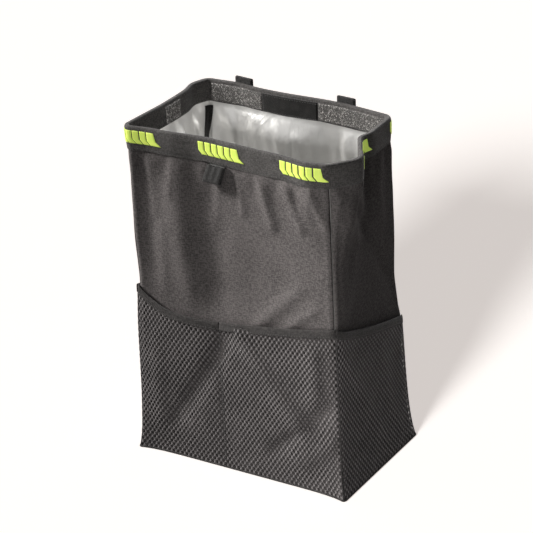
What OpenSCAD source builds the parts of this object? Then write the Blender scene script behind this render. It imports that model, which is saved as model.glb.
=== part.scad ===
// Hanging fabric bin for a car: a lined box bag with a stiffened rim and net pockets.
// The origin is the centre of the base on the floor, +Z is up and the front faces -Y.
// Sides are numbered 0 front, 1 right, 2 back, 3 left. Each runs from one corner to the next,
// anticlockwise seen from above. Depth is measured inwards from the outside of the wall fabric.

/* [Bag] */
// Width of the base at the floor
base_w = 238; // [200:1:280]
// Depth of the base at the floor
base_d = 150; // [120:1:180]
// Height of the rim above the floor
bag_h = 352; // [300:1:400]
// How far each rim corner stands out past its base corner along X, anticlockwise from the front left
rim_out_x = [0, -10, -16, -7]; // [-25:1:10]
// The same along Y
rim_out_y = [-5, -7, -11, -3]; // [-25:1:10]
// How far the corners draw in between base and rim
waist_in = 4.5; // [0:0.5:8]
// Extra draw of the corners at the height of the pocket hem
hem_pull = 1.5; // [0:0.5:3]
// How far the front edge of the base bows in
base_bow = 5; // [0:0.5:8]
// How far the left wall bulges beside its front seam
side_bulge = 5; // [0:0.5:8]
// Radius of the sewn corners at the base
seam_r = 2.5; // [1.5:0.5:4]
// Radius of the corners at the rim
rim_r = 8; // [6:0.5:12]

/* [Layers] */
// Thickness of the wall fabric
fabric_t = 1; // [0.6:0.1:1.4]
// Thickness of the liner film
liner_t = 0.4; // [0.3:0.1:0.8]
// Clearance between two layers that lie face to face
layer_gap = 0.2; // [0.15:0.05:0.3]
// Thickness of the fabric under the base
base_t = 1.2; // [0.8:0.1:2]
// Thickness of the board in the base
board_t = 2; // [1:0.5:4]
// Clearance between the board and the walls
board_gap = 1.6; // [1.4:0.1:4]
// Depth of the hanging folds of the liner
liner_fold = 5; // [0:0.5:8]
// Width of the tape over each inner corner seam of the liner
seam_tape_w = 9; // [7:0.5:12]
// Thickness of that tape
seam_tape_t = 0.4; // [0.3:0.1:0.8]

/* [Rim] */
// Height of the folded band down the outside
band_h = 25; // [20:1:32]
// Height of the folded band down the inside
band_in_h = 23; // [18:1:32]
// Thickness of the band
band_t = 1; // [0.8:0.1:1.6]
// Height of the stiffening strips inside the band
stiff_h = 19; // [14:1:22]
// Thickness of the stiffening strips
stiff_t = 1.2; // [0.8:0.1:2]
// How far the right rim bulges out in front of its buckle
buckle_out = 17; // [0:1:22]
// How far the right rim dents in at its buckle
buckle_in = 4; // [0:0.5:6]
// Depth of the soft folds of the walls between the pockets and the rim
front_fold = 3.5; // [0:0.5:5]
// Height below the band over which the shape of the rim fades out
rim_fade = 90; // [60:5:140]

/* [Bright marks] */
// Length of tape from one group of marks to the next
mark_pitch = 93; // [70:1:120]
// Length of tape from the front left corner to the first group on the front
mark_first = 81; // [60:1:90]
// Width of one mark
mark_w = 6.2; // [4:0.1:7]
// Distance from one mark to the next
mark_step = 7.5; // [7.5:0.1:10]
// Marks in one group
mark_count = 6; // [3:1:8]
// Height of a mark
mark_h = 13; // [8:0.5:16]
// Thickness of a mark
mark_t = 0.3; // [0.2:0.1:0.6]
// Distance from the top of the rim to the marks
mark_drop = 4; // [3:0.5:6]

/* [Hook and loop strips] */
// Height of the strips inside the rim
hook_h = 19; // [12:1:19]
// Thickness of the strips
hook_t = 1.4; // [0.8:0.1:2]
// Length of the back left hook strip
hook_left_w = 60; // [30:1:70]
// Length of the back right hook strip
hook_right_w = 78; // [40:1:85]
// Length of the loop strip at the middle of the back
loop_w = 62; // [30:1:64]
// Length of the short strips on the two sides
hook_side_w = 26; // [15:1:40]

/* [Pockets] */
// Height of the hem at both front corners
pocket_h = 183; // [150:1:210]
// Height of the front hem at the divider seam
divider_h = 162; // [140:1:185]
// Height of the side hems at the back corners
pocket_back_h = 139; // [120:1:180]
// Place of the divider seam as a share of the front
divider_at = 0.42; // [0.3:0.01:0.7]
// Height of the hem tape
hem_h = 9; // [6:0.5:14]
// Thickness of one leg of the hem tape
hem_t = 0.6; // [0.5:0.1:1]
// Thickness of the net
net_t = 0.6; // [0.4:0.1:1]
// Clearance between the net and the wall at its seams
net_gap = 0.4; // [0.3:0.05:0.6]
// How far the mouth of each pocket stands off
mouth_gap = 2.4; // [0:0.2:3]
// Solid edge of the net at the base
net_edge = 4; // [2:0.5:8]
// Rows of net openings on the front
front_net_rows = 5; // [3:1:6]
// Columns of net openings on the front
front_net_cols = 8; // [4:1:9]
// Rows of net openings on a side
side_net_rows = 4; // [3:1:6]
// Columns of net openings on a side
side_net_cols = 5; // [3:1:6]
// Open share of one net cell
net_open = 0.8; // [0.6:0.02:0.86]

/* [Webbing] */
// Width of the front tab
tab_w = 20; // [14:1:26]
// Drop of the front tab below the rim band
tab_drop = 20; // [12:1:26]
// Place of the front tab along X
tab_x = -17; // [-40:1:20]
// Lean of the front tab to the left, in degrees
tab_lean = 21; // [0:1:25]
// Width of the rear strap loops
loop_strap_w = 20; // [16:1:28]
// Rise of the rear strap loops above the rim
loop_rise = 5; // [4:0.5:14]
// Length of the strap loops down the back of the band
loop_down = 18; // [12:1:22]
// Place of the left strap loop along X
loop_left_x = -68; // [-80:1:-45]
// Place of the right strap loop along X
loop_right_x = 44; // [30:1:70]
// Thickness of the webbing
web_t = 1.2; // [0.8:0.1:1.8]
// Gap inside a folded loop of webbing
web_gap = 1.2; // [0.6:0.1:3]

/* [Hidden] */

fabric_c = [0.16, 0.15, 0.15];
net_c = [0.09, 0.09, 0.09];
band_c = [0.11, 0.11, 0.11];
bright_c = [0.80, 0.98, 0.25];
film_c = [0.74, 0.74, 0.72];
board_c = [0.30, 0.30, 0.32];

// Directions of the four sides: outwards, and along the side
OUT = [[0, -1], [1, 0], [0, 1], [-1, 0]];
ALONG = [[1, 0], [0, 1], [-1, 0], [0, -1]];
// Which way each corner lies from the middle
CORNER = [[-1, -1], [1, -1], [1, 1], [-1, 1]];

// Columns of one side: two in each corner bend and the shares between the bends
FRONT_SHARES = [0, 0.08, 0.16, 0.23, 0.3, 0.38, 0.48, 0.62, 0.76, 0.88, 1];
BACK_SHARES = [0, 0.08, 0.17, 0.26, 0.35, 0.44, 0.54, 0.65, 0.76, 0.88, 1];
SIDE_SHARES = [0, 0.1, 0.2, 0.3, 0.4, 0.47, 0.53, 0.6, 0.7, 0.9, 1];
COLS = len(FRONT_SHARES) + 3;
RING = 4 * COLS;
function shares(k) = k == 0 ? FRONT_SHARES : k == 2 ? BACK_SHARES : SIDE_SHARES;

// Depths of the layers, from the outside of the rim inwards
band_out_d = -layer_gap - band_t;
stiff_d = fabric_t + layer_gap;
liner_d = stiff_d + stiff_t + layer_gap;
band_in_d = liner_d + liner_t + layer_gap;
band_face_d = band_in_d + band_t;
hook_d = band_face_d + layer_gap;
// Clearance of the flat webbing pieces from what they lie on, and its growth with their width
web_clear = 0.35;
web_curve = 0.035;

// Heights of the layers
wall_top = bag_h - band_t - layer_gap;
band_z = bag_h - band_h;
board_z = base_t + layer_gap;
floor_z = board_z + board_t + layer_gap;

// Heights at which the walls bend, from the floor to the top edge
wall_rows = [
    for (q = [0, 0.04, 0.09, 0.16, 0.26, 0.37, 0.48, 0.57, 0.66, 0.76, 0.86, 1]) q * band_z,
    wall_top
];

function hump(x, c, w) = exp(-pow((x - c) / w, 2));
function ease(x) = let (t = min(max(x, 0), 1)) t * t * (3 - 2 * t);

// Heights over which the shapes of the walls come in and go out
waist_reach = 26;
pull_reach = 34;
bow_reach = 60;
bend_reach = 60;
fold_low = pocket_h - 10;
fold_rise = 70;
fold_fade = 45;
side_rise = 45;
side_top = band_z + 10;
side_fade = 90;
hang_fade = 45;
hang_foot = 120;

// Tables of what changes with height, linear between the wall rows
waist_tab = [
    for (z = wall_rows) [z, waist_in * (1 - exp(-z / waist_reach)) * (1 - pow(z / bag_h, 4))]
];
pull_tab = [for (z = wall_rows) [z, hem_pull * hump(z, pocket_h, pull_reach)]];
fade_tab = [for (z = wall_rows) [z, ease(1 - (band_z - z) / rim_fade)]];
fold_tab = [
    for (z = wall_rows)
        [z, ease((z - fold_low) / fold_rise) * (1 - 0.75 * ease(1 - (band_z - z) / fold_fade))]
];
side_tab = [for (z = wall_rows) [z, ease(z / side_rise) * ease((side_top - z) / side_fade)]];
bow_tab = [for (z = wall_rows) [z, exp(-z / bow_reach)]];
bend_tab = [
    for (z = wall_rows) [z, seam_r + (rim_r - seam_r) * ease(1 - (band_z - z) / bend_reach)]
];
hang_tab = [
    for (z = wall_rows) [z, ease((band_z - z) / hang_fade) * (1 - 0.9 * ease(1 - z / hang_foot))]
];

// Outward shape of each rim against the share s along the side
function flat_ends(s) = 1 - pow(abs(2 * s - 1), 8);
function rim_shape(k, s) =
    k == 0 ? 4 * hump(s, 0.9, 0.07) - 6 * hump(s, 0.35, 0.3)
    : k == 1 ? buckle_out * hump(s, 0.22, 0.17) - buckle_in * hump(s, 0.56, 0.07)
    : k == 2 ? 5 * hump(s, 0.3, 0.25) + 3 * hump(s, 0.85, 0.1)
    : 4.5 * hump(s, 0.12, 0.1) - 1.8 * hump(s, 0.62, 0.2);

// Folds of the clear wall above the pockets: v runs from 0 at the pocket hem to 1 at the band.
// On the front they lean to the right going up. On the right one falls from the band to the back seam.
function clear_share(z) = min(max((z - pocket_h) / (band_z - pocket_h), 0), 1);
function fold_shape(k, s, v) =
    k == 0 ? front_fold * (1.3 * hump(s, 0.22 + 0.075 * v, 0.068) - hump(s, 0.32 + 0.075 * v, 0.072)
        + hump(s, 0.8 + 0.13 * v, 0.14))
    : k == 1 ? front_fold * (0.9 * hump(s, 0.12, 0.085) - 0.9 * hump(s, 0.94 - 0.82 * v, 0.09))
    : k == 2 ? front_fold * (0.4 * hump(s, 0.25, 0.1) - 0.5 * hump(s, 0.55, 0.12))
    : front_fold * (0.4 * hump(s, 0.7, 0.12) - 0.5 * hump(s, 0.4, 0.12));

// How far side k stands out at the share s: worked out at the wall rows and straight between them
function row_bulge(k, s, z) =
    flat_ends(s) * (rim_shape(k, s) * lookup(z, fade_tab)
        + fold_shape(k, s, clear_share(z)) * lookup(z, fold_tab)
        - (k == 0 ? base_bow * lookup(z, bow_tab) : 0)
        + (k == 3 ? side_bulge * hump(s, 0.85, 0.17) * lookup(z, side_tab) : 0));
row_tab = [for (i = [0 : len(wall_rows) - 1]) [wall_rows[i], i]];
function bulge(k, s, z) =
    let (c = lookup(z, row_tab), i = min(floor(c), len(wall_rows) - 2), f = c - i)
    row_bulge(k, s, wall_rows[i]) * (1 - f) + row_bulge(k, s, wall_rows[i + 1]) * f;

// Corner q of the wall fabric at height z, before its bend
function corner(q, z) =
    let (
        i = q % 4,
        w = lookup(z, waist_tab) + (i == 1 ? 0 : lookup(z, pull_tab)),
        x = base_w / 2 + rim_out_x[i] * z / bag_h - w,
        y = base_d / 2 + rim_out_y[i] * z / bag_h - w
    )
    [CORNER[i][0] * x, CORNER[i][1] * y];

// Distance of column i from the start of side k, and how far the corner bend tucks it in
function run(k, i, len, r) =
    i == 0 ? 0.293 * r
    : i == 1 ? 0.617 * r
    : i == COLS - 1 ? len - 0.617 * r
    : i == COLS ? len - 0.293 * r
    : r + (len - 2 * r) * shares(k)[i - 2];
function tuck(i, r) =
    i == 0 || i == COLS ? 0.293 * r
    : i == 1 || i == COLS - 1 ? 0.076 * r
    : 0;

// Point of side k at whole column i, height z and depth d; the ends draw back by e
function column_point(k, i, z, d, e) =
    let (
        n = OUT[k],
        t = ALONG[k],
        a = corner(k, z) + d * (t - n),
        b = corner(k + 1, z) - d * (t + n),
        len = norm(b - a),
        r = max(lookup(z, bend_tab) - d, 1.2),
        m = run(k, i, len, r),
        s = (m - 0.293 * r) / (len - 0.586 * r),
        g = i == 0 ? e : i == COLS ? -e : 0,
        p = a + (b - a) * (m / len) + n * (bulge(k, s, z) - tuck(i, r)) + t * g
    )
    [p[0], p[1], z];

// The same at any place c between two columns
function wall_point(k, c, z, d, e = 0) =
    let (i = min(floor(c), COLS - 1), f = c - i)
    column_point(k, i, z, d, e) * (1 - f) + column_point(k, i + 1, z, d, e) * f;

// Column place of a share of the straight run between the two corner bends
function place(k, share) =
    2 + lookup(share, [for (i = [0 : COLS - 4]) [shares(k)[i], i]]);

// Points, tape length and column places round the rim, outside the band
function ring_point(g, z, d) =
    let (h = (g % RING + RING) % RING, k = min(floor(h / COLS), 3))
    wall_point(k, h - k * COLS, z, d);
ring_run = [
    for (
        i = 0, s = 0;
        i <= RING;
        s = s + norm(ring_point(i + 1, bag_h, band_out_d) - ring_point(i, bag_h, band_out_d)), i = i + 1
    ) s
];
ring_len = ring_run[RING];
run_tab = [for (i = [0 : RING]) [ring_run[i], i]];
function ring_place(p) = lookup(((p % ring_len) + ring_len) % ring_len, run_tab);

// Height of the top of the hem of side k at the share s
function hem_z(k, s) =
    k == 0 ? (
        s < divider_at
        ? pocket_h - (pocket_h - divider_h) * (1 - pow(1 - s / divider_at, 3.5))
        : divider_h + (pocket_h - divider_h) * (s - divider_at) / (1 - divider_at)
    )
    : let (q = k == 1 ? s : 1 - s) pocket_h - (pocket_h - pocket_back_h) * pow(q, 0.85);
// How far the pocket of side k stands off at the share s, from 0 at its seams to 1
function open_share(k, s) =
    k == 0
    ? (s < divider_at ? sin(180 * s / divider_at) : sin(180 * (s - divider_at) / (1 - divider_at)))
    : sin(180 * s);
// Share along the side for the column place c
function share_at(k, c) =
    c <= 2 ? 0 : c >= COLS - 2 ? 1 : lookup(c - 2, [for (i = [0 : COLS - 4]) [i, shares(k)[i]]]);
// Share along the side for the share x of the net's own columns; on the front one column lies on the divider
function net_cols(k) = k == 0 ? front_net_cols : side_net_cols;
seam_line = (floor(divider_at * front_net_cols) + 0.5) / front_net_cols;
function net_share(k, x) =
    k == 0 ? lookup(x, [[0, 0], [seam_line, divider_at], [1, 1]]) : x;
function net_place(k, x) = place(k, net_share(k, x));
// Column places on which both the net and its hem have their points
function net_lines(k) =
    concat([0, 1, 2], [for (i = [0 : net_cols(k) - 1]) net_place(k, (i + 0.5) / net_cols(k))],
        [COLS - 2, COLS - 1, COLS]);
// Extra clearance of a pocket where the wall behind it bulges
function lift(k, c, z) =
    k == 3 ? 0.15 * side_bulge * hump(share_at(k, c), 0.8, 0.3) * lookup(z, side_tab) : 0;
// Depth of the inside of the hem, and of the net at the share v of its height
function hem_off(k, c) = -net_gap - mouth_gap * open_share(k, share_at(k, c));
function net_off(k, c, v) =
    -net_gap - (mouth_gap * open_share(k, share_at(k, c)) + hem_t + layer_gap) * ease(v);

// Triangles of a grid with nc by nr cells, and the edge that runs round it
function grid_faces(nc, nr) = [
    for (i = [0 : nc - 1], j = [0 : nr - 1])
        let (a = i * (nr + 1) + j, b = a + nr + 1)
            each [[a, a + 1, b + 1], [a, b + 1, b]]
];
function grid_edge(nc, nr) = concat(
    [for (j = [0 : nr - 1]) j],
    [for (i = [0 : nc - 1]) i * (nr + 1) + nr],
    [for (j = [nr : -1 : 1]) nc * (nr + 1) + j],
    [for (i = [nc : -1 : 1]) i * (nr + 1)]
);

// A closed slab between an outer and an inner set of points
module slab(outer, inner, faces, edges) {
    n = len(outer);
    polyhedron(
        points = concat(outer, inner),
        faces = concat(
            faces,
            [for (f = faces) [f[0] + n, f[2] + n, f[1] + n]],
            [
                for (e = edges, i = [0 : len(e) - 1])
                    let (a = e[i], b = e[(i + 1) % len(e)])
                        each [[b, a, a + n], [b, a + n, b + n]]
            ]
        )
    );
}

// A closed sweep of one outline through many sections, with its ends closed by the given triangles
module sweep(sections, ends = []) {
    m = len(sections[0]);
    n = len(sections);
    laps = len(ends) == 0 ? n : n - 1;
    polyhedron(
        points = [for (s = sections) each s],
        faces = concat(
            [
                for (i = [0 : laps - 1], j = [0 : m - 1])
                    let (a = i * m, b = ((i + 1) % n) * m, q = (j + 1) % m)
                        each [[a + j, a + q, b + q], [a + j, b + q, b + j]]
            ],
            [for (t = ends) [t[2], t[1], t[0]]],
            [for (t = ends) [for (v = t) v + (n - 1) * m]]
        )
    );
}

// One wall of the bag
module wall(k) {
    outer = [for (i = [0 : COLS], z = wall_rows) wall_point(k, i, z, 0, layer_gap / 2)];
    inner = [for (i = [0 : COLS], z = wall_rows) wall_point(k, i, z, fabric_t, layer_gap / 2)];
    nr = len(wall_rows) - 1;
    slab(outer, inner, grid_faces(COLS, nr), [grid_edge(COLS, nr)]);
}

// A strip on side k between two column places, two heights and two depths
module strip(k, c0, c1, z0, z1, d0, d1) {
    cs = concat([c0], [for (i = [ceil(c0 + 0.05) : floor(c1 - 0.05)]) i], [c1]);
    outer = [for (c = cs, z = [z0, z1]) wall_point(k, c, z, d0)];
    inner = [for (c = cs, z = [z0, z1]) wall_point(k, c, z, d1)];
    slab(outer, inner, grid_faces(len(cs) - 1, 1), [grid_edge(len(cs) - 1, 1)]);
}

// Outline of a level through the walls at depth d
function level(z, d) = [
    for (k = [0 : 3], i = [0 : COLS - 1]) let (p = wall_point(k, i, z, d)) [p[0], p[1]]
];

module base_panel() {
    color(fabric_c)
    linear_extrude(base_t)
    polygon(level(base_t, fabric_t + layer_gap));
}

module base_board() {
    color(board_c)
    translate([0, 0, board_z])
    linear_extrude(board_t)
    polygon(level(board_z + board_t, fabric_t + board_gap));
}

// Depth of the liner: flat behind the band, hanging in folds lower down
function liner_folds(k, s) =
    k == 0 ? 0.5 * hump(s, 0.25, 0.12) + 0.8 * hump(s, 0.6, 0.1)
    : k == 1 ? 0.5 * hump(s, 0.4, 0.15)
    : k == 2 ? hump(s, 0.22, 0.07) + 0.8 * hump(s, 0.48, 0.07) + 0.9 * hump(s, 0.76, 0.08)
    : 0.6 * hump(s, 0.35, 0.1) + 0.5 * hump(s, 0.7, 0.1);
function liner_depth(k, i, z) =
    liner_d + liner_fold * liner_folds(k, share_at(k, i)) * lookup(z, hang_tab);
liner_rows = concat([floor_z], [for (z = wall_rows) if (z > floor_z) z]);
// Point on the liner at column place c and height z, t further in than its outside
function liner_point(k, c, z, t) =
    let (i = min(floor(c), COLS - 1), f = c - i)
    wall_point(k, i, z, liner_depth(k, i, z) + t) * (1 - f)
    + wall_point(k, i + 1, z, liner_depth(k, i + 1, z) + t) * f;
function liner_points(t) = [
    for (k = [0 : 3], i = [0 : COLS - 1], j = [0 : len(liner_rows) - 1])
        let (z = liner_rows[j], p = wall_point(k, i, z, liner_depth(k, i, z) + t))
            [p[0], p[1], j == 0 ? z + t : z]
];

module liner() {
    nr = len(liner_rows) - 1;
    m = nr + 1;
    n = RING * m;
    walls = [
        for (i = [0 : RING - 1], j = [0 : nr - 1])
            let (a = i * m + j, b = ((i + 1) % RING) * m + j)
                each [[a, a + 1, b + 1], [a, b + 1, b]]
    ];
    color(film_c)
    polyhedron(
        points = concat(liner_points(0), liner_points(liner_t)),
        faces = concat(
            walls,
            [for (f = walls) [f[0] + n, f[2] + n, f[1] + n]],
            [
                for (i = [0 : RING - 1])
                    let (a = i * m + nr, b = ((i + 1) % RING) * m + nr)
                        each [[b, a, a + n], [b, a + n, b + n]]
            ],
            [[for (i = [0 : RING - 1]) i * m]],
            [[for (i = [RING - 1 : -1 : 0]) i * m + n]]
        )
    );
}

// Tape over one inner corner seam of the liner, from the floor to the band
module liner_tape(q) {
    before = (q + 3) % 4;
    rows = [for (z = liner_rows) if (z > floor_z && z < band_z - 1) z];
    reach = seam_tape_w / 2;
    // A row across the tape: the flat of one side, the corner, the flat of the next side
    function across(z, t) =
        let (
            d = liner_t + 2 * layer_gap + t,
            f = liner_point(before, COLS - 2, z, d),
            g = liner_point(q, 2, z, d),
            u = COLS - 2 - reach / norm(f - liner_point(before, COLS - 3, z, d)),
            w = 2 + reach / norm(g - liner_point(q, 3, z, d))
        )
        [liner_point(before, u, z, d), liner_point(q, 0, z, d), liner_point(q, w, z, d)];
    outer = [for (i = [0 : 2], z = rows) across(z, 0)[i]];
    inner = [for (i = [0 : 2], z = rows) across(z, seam_tape_t)[i]];
    nr = len(rows) - 1;
    slab(outer, inner, grid_faces(2, nr), [grid_edge(2, nr)]);
}

module liner_tape_front_left() { color(band_c) liner_tape(0); }
module liner_tape_front_right() { color(band_c) liner_tape(1); }
module liner_tape_back_right() { color(band_c) liner_tape(2); }
module liner_tape_back_left() { color(band_c) liner_tape(3); }

module front_panel() { color(fabric_c) wall(0); }
module right_panel() { color(fabric_c) wall(1); }
module back_panel() { color(fabric_c) wall(2); }
module left_panel() { color(fabric_c) wall(3); }

// The band: one tape folded over the top of all the layers and run right round the rim
module rim_band() {
    low = bag_h - band_in_h;
    soft = min(1.4, band_t * 1.4);
    outline = [
        [band_out_d, band_z], [band_out_d, bag_h - soft], [band_out_d + soft, bag_h],
        [band_face_d - soft, bag_h], [band_face_d, bag_h - soft], [band_face_d, low],
        [band_in_d, low], [band_in_d, bag_h - band_t], [-layer_gap, bag_h - band_t], [-layer_gap, band_z]
    ];
    color(band_c)
    sweep([
        for (k = [0 : 3], i = [0 : COLS - 1])
            [for (q = outline) wall_point(k, i, q[1], q[0])]
    ]);
}

// Stiffening strips stand inside the band between the wall fabric and the liner
module stiffener(k, c0, c1) {
    color(board_c)
    strip(k, c0, c1, wall_top - stiff_h, wall_top, stiff_d, stiff_d + stiff_t);
}
right_fold = place(1, 0.55);
left_fold = place(3, 0.5);
module stiffener_front() { stiffener(0, 2, COLS - 2); }
module stiffener_back() { stiffener(2, 2, COLS - 2); }
module stiffener_right_front() { stiffener(1, 2, right_fold - 0.12); }
module stiffener_right_back() { stiffener(1, right_fold + 0.12, COLS - 2); }
module stiffener_left_back() { stiffener(3, 2, left_fold - 0.12); }
module stiffener_left_front() { stiffener(3, left_fold + 0.12, COLS - 2); }

// Strips sewn on the inside of the band: place along X on the back, share on the sides
function back_place(x) =
    let (
        a = wall_point(2, 2, bag_h, hook_d)[0],
        b = wall_point(2, COLS - 2, bag_h, hook_d)[0]
    )
    place(2, min(max((a - x) / (a - b), 0), 1));
hook_z = bag_h - band_t - 2;
module hook_strip(k, c0, c1) {
    strip(k, c0, c1, hook_z - hook_h, hook_z, hook_d, hook_d + hook_t);
}
back_left_end = wall_point(2, COLS - 2, bag_h, hook_d)[0];
module hook_strip_back_left() {
    color([0.2, 0.2, 0.2])
    hook_strip(2, back_place(back_left_end + hook_left_w), COLS - 2);
}
module loop_strip_back() {
    x0 = back_left_end + hook_left_w + 0.5;
    color([0.08, 0.08, 0.08])
    hook_strip(2, back_place(x0 + loop_w), back_place(x0));
}
module hook_strip_back_right() {
    x0 = back_left_end + hook_left_w + loop_w + 1;
    color([0.2, 0.2, 0.2])
    hook_strip(2, back_place(x0 + hook_right_w), back_place(x0));
}
module side_strip(k, share) {
    len = norm(corner(k + 1, bag_h) - corner(k, bag_h));
    half = hook_side_w / 2 / len;
    color([0.2, 0.2, 0.2])
    hook_strip(k, place(k, share - half), place(k, share + half));
}
module hook_strip_left() { side_strip(3, 0.47); }
module hook_strip_right() { side_strip(1, 0.8); }

// Bright marks on the outside of the band: each stands upright and its foot slants
mark_start = mark_first - mark_pitch;
function sorted(v) =
    len(v) < 2 ? v
    : let (m = v[0]) concat(
        sorted([for (i = [1 : len(v) - 1]) if (v[i] < m) v[i]]), [m],
        sorted([for (i = [1 : len(v) - 1]) if (v[i] >= m) v[i]])
    );
function spread(v) =
    len(v) < 2 ? v : [for (i = [0 : len(v) - 1]) if (i == 0 || v[i] - v[i - 1] > 0.05) v[i]];
module mark(p, wide) {
    w = mark_w + wide;
    d = band_out_d - layer_gap - 0.15;
    top = bag_h - mark_drop;
    // Height, shift of the left edge, shift of the right edge
    rows = [
        [top - mark_h, 0.28 * mark_h, w + (wide > 0 ? 0.42 : 0.28) * mark_h],
        [top - 0.66 * mark_h, 0, w + (wide > 0 ? 0.14 : 0) * mark_h],
        [top, 0, w]
    ];
    cuts = [
        for (r = [rows[0], rows[2]], b = ring_run)
            let (t = (b - p - r[1]) / (r[2] - r[1]))
                if (t > 0.06 && t < 0.94) t
    ];
    ts = concat([0], spread(sorted(cuts)), [1]);
    function face(t, r, e) = ring_point(ring_place(p + r[1] + (r[2] - r[1]) * t), r[0], d - e);
    slab(
        [for (t = ts, r = rows) face(t, r, mark_t)],
        [for (t = ts, r = rows) face(t, r, 0)],
        grid_faces(len(ts) - 1, 2),
        [grid_edge(len(ts) - 1, 2)]
    );
}
module rim_marks() {
    groups = floor((ring_len - mark_pitch / 4) / mark_pitch);
    color(bright_c)
    for (g = [0 : groups], m = [0 : mark_count - 1]) {
        p = mark_start + g * mark_pitch + m * mark_step;
        mark(p < 0 ? p + ring_len : p, m == mark_count - 1 ? 1.2 : 0);
    }
}

// Net of one pocket: rows of diamond openings with a solid edge all round
module net(k, nc, nr) {
    rows = nr + 4;
    foot = 0.3;
    lines = net_lines(k);
    // Height share of a grid line
    function gy(b) = b == 0 ? -1 : b == 1 ? 0 : b == nr + 2 ? 1 : b == nr + 3 ? 2 : (b - 1.5) / nr;
    // Height on the net for a column place and a height share; -1 is the foot, 2 the top edge
    function gz(c, v) =
        let (top = hem_z(k, share_at(k, c)))
        v < 0 ? foot : v > 1 ? top - hem_t - layer_gap : net_edge + (top - hem_h - 1 - net_edge) * v;
    function spot(c, v, t) =
        let (z = gz(c, v), u = v < 0 ? 0 : min(v, 1))
        wall_point(k, c, z, net_off(k, c, u) - lift(k, c, z) - t, layer_gap / 2);
    function g(a, b) = a * rows + b;
    n0 = (nc + 6) * rows;
    n1 = n0 + (nc - 1) * nr;
    n2 = n1 + nc * (nr - 1);
    function v1(i, j) = i == 0 ? g(2, j + 2) : i == nc ? g(nc + 3, j + 2) : n0 + (i - 1) * nr + j;
    function v2(i, j) = j == 0 ? g(i + 3, 1) : j == nr ? g(i + 3, nr + 2) : n1 + i * (nr - 1) + j - 1;
    // Cells as [left, top, right, bottom]
    cells = concat(
        [for (i = [0 : nc - 1], j = [0 : nr - 1]) [v1(i, j), v2(i, j + 1), v1(i + 1, j), v2(i, j)]],
        [for (i = [1 : nc - 1], j = [1 : nr - 1]) [v2(i - 1, j), v1(i, j), v2(i, j), v1(i, j - 1)]]
    );
    halves = concat(
        [for (i = [1 : nc - 1]) [v2(i - 1, 0), v1(i, 0), v2(i, 0)]],
        [for (i = [1 : nc - 1]) [v2(i - 1, nr), v2(i, nr), v1(i, nr - 1)]],
        [for (j = [1 : nr - 1]) [v1(0, j - 1), v1(0, j), v2(0, j)]],
        [for (j = [1 : nr - 1]) [v1(nc, j), v1(nc, j - 1), v2(nc - 1, j)]],
        [
            [g(2, 1), v1(0, 0), v2(0, 0)], [g(nc + 3, 1), v2(nc - 1, 0), v1(nc, 0)],
            [g(2, nr + 2), v2(0, nr), v1(0, nr - 1)], [g(nc + 3, nr + 2), v1(nc, nr - 1), v2(nc - 1, nr)]
        ]
    );
    border = [
        for (a = [0 : nc + 4], b = [0 : nr + 2])
            if (a < 2 || a > nc + 2 || b < 1 || b > nr + 1)
                each [[g(a, b), g(a, b + 1), g(a + 1, b + 1)], [g(a, b), g(a + 1, b + 1), g(a + 1, b)]]
    ];
    rings = [
        for (q = [0 : len(cells) - 1], e = [0 : 3])
            let (a = cells[q][e], b = cells[q][(e + 1) % 4], c = n2 + 4 * q + e, d = n2 + 4 * q + (e + 1) % 4)
                each [[a, b, d], [a, d, c]]
    ];
    holes = [for (q = [0 : len(cells) - 1]) [for (e = [3 : -1 : 0]) n2 + 4 * q + e]];
    rim = concat(
        [for (b = [0 : rows - 2]) g(0, b)],
        [for (a = [0 : nc + 4]) g(a, rows - 1)],
        [for (b = [rows - 1 : -1 : 1]) g(nc + 5, b)],
        [for (a = [nc + 5 : -1 : 1]) g(a, 0)]
    );
    function solid(t) = concat(
        [for (a = [0 : nc + 5], b = [0 : nr + 3]) spot(lines[a], gy(b), t)],
        [for (i = [1 : nc - 1], j = [0 : nr - 1]) spot(net_place(k, i / nc), (j + 0.5) / nr, t)],
        [for (i = [0 : nc - 1], j = [1 : nr - 1]) spot(net_place(k, (i + 0.5) / nc), j / nr, t)]
    );
    function with_holes(pts) = concat(
        pts,
        [
            for (c = cells)
                let (m = (pts[c[0]] + pts[c[1]] + pts[c[2]] + pts[c[3]]) / 4)
                    each [for (v = c) m + (pts[v] - m) * net_open]
        ]
    );
    color(net_c)
    slab(with_holes(solid(net_t)), with_holes(solid(0)), concat(border, halves, rings), concat([rim], holes));
}

module front_pocket_net() { net(0, front_net_cols, front_net_rows); }
module right_pocket_net() { net(1, side_net_cols, side_net_rows); }
module left_pocket_net() { net(3, side_net_cols, side_net_rows); }

// Hem of one pocket: a tape folded over the top edge of the net
module hem(k) {
    // The outline of the fold at one column place
    function fold(c) =
        let (
            top = hem_z(k, share_at(k, c)),
            low = top - hem_h,
            under = top - hem_t,
            a = hem_off(k, c) - lift(k, c, top),
            b = a - hem_t,
            f = b - net_t - 2 * layer_gap,
            o = f - hem_t
        )
        [for (q = [[o, low], [o, top], [a, top], [a, low], [b, low], [b, under], [f, under], [f, low]])
            wall_point(k, c, q[1], q[0], layer_gap / 2)];
    ends = [[0, 1, 6], [0, 6, 7], [1, 2, 5], [1, 5, 6], [2, 3, 4], [2, 4, 5]];
    color(band_c)
    sweep([for (c = net_lines(k)) fold(c)], ends);
}
module front_pocket_hem() { hem(0); }
module right_pocket_hem() { hem(1); }
module left_pocket_hem() { hem(3); }

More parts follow.
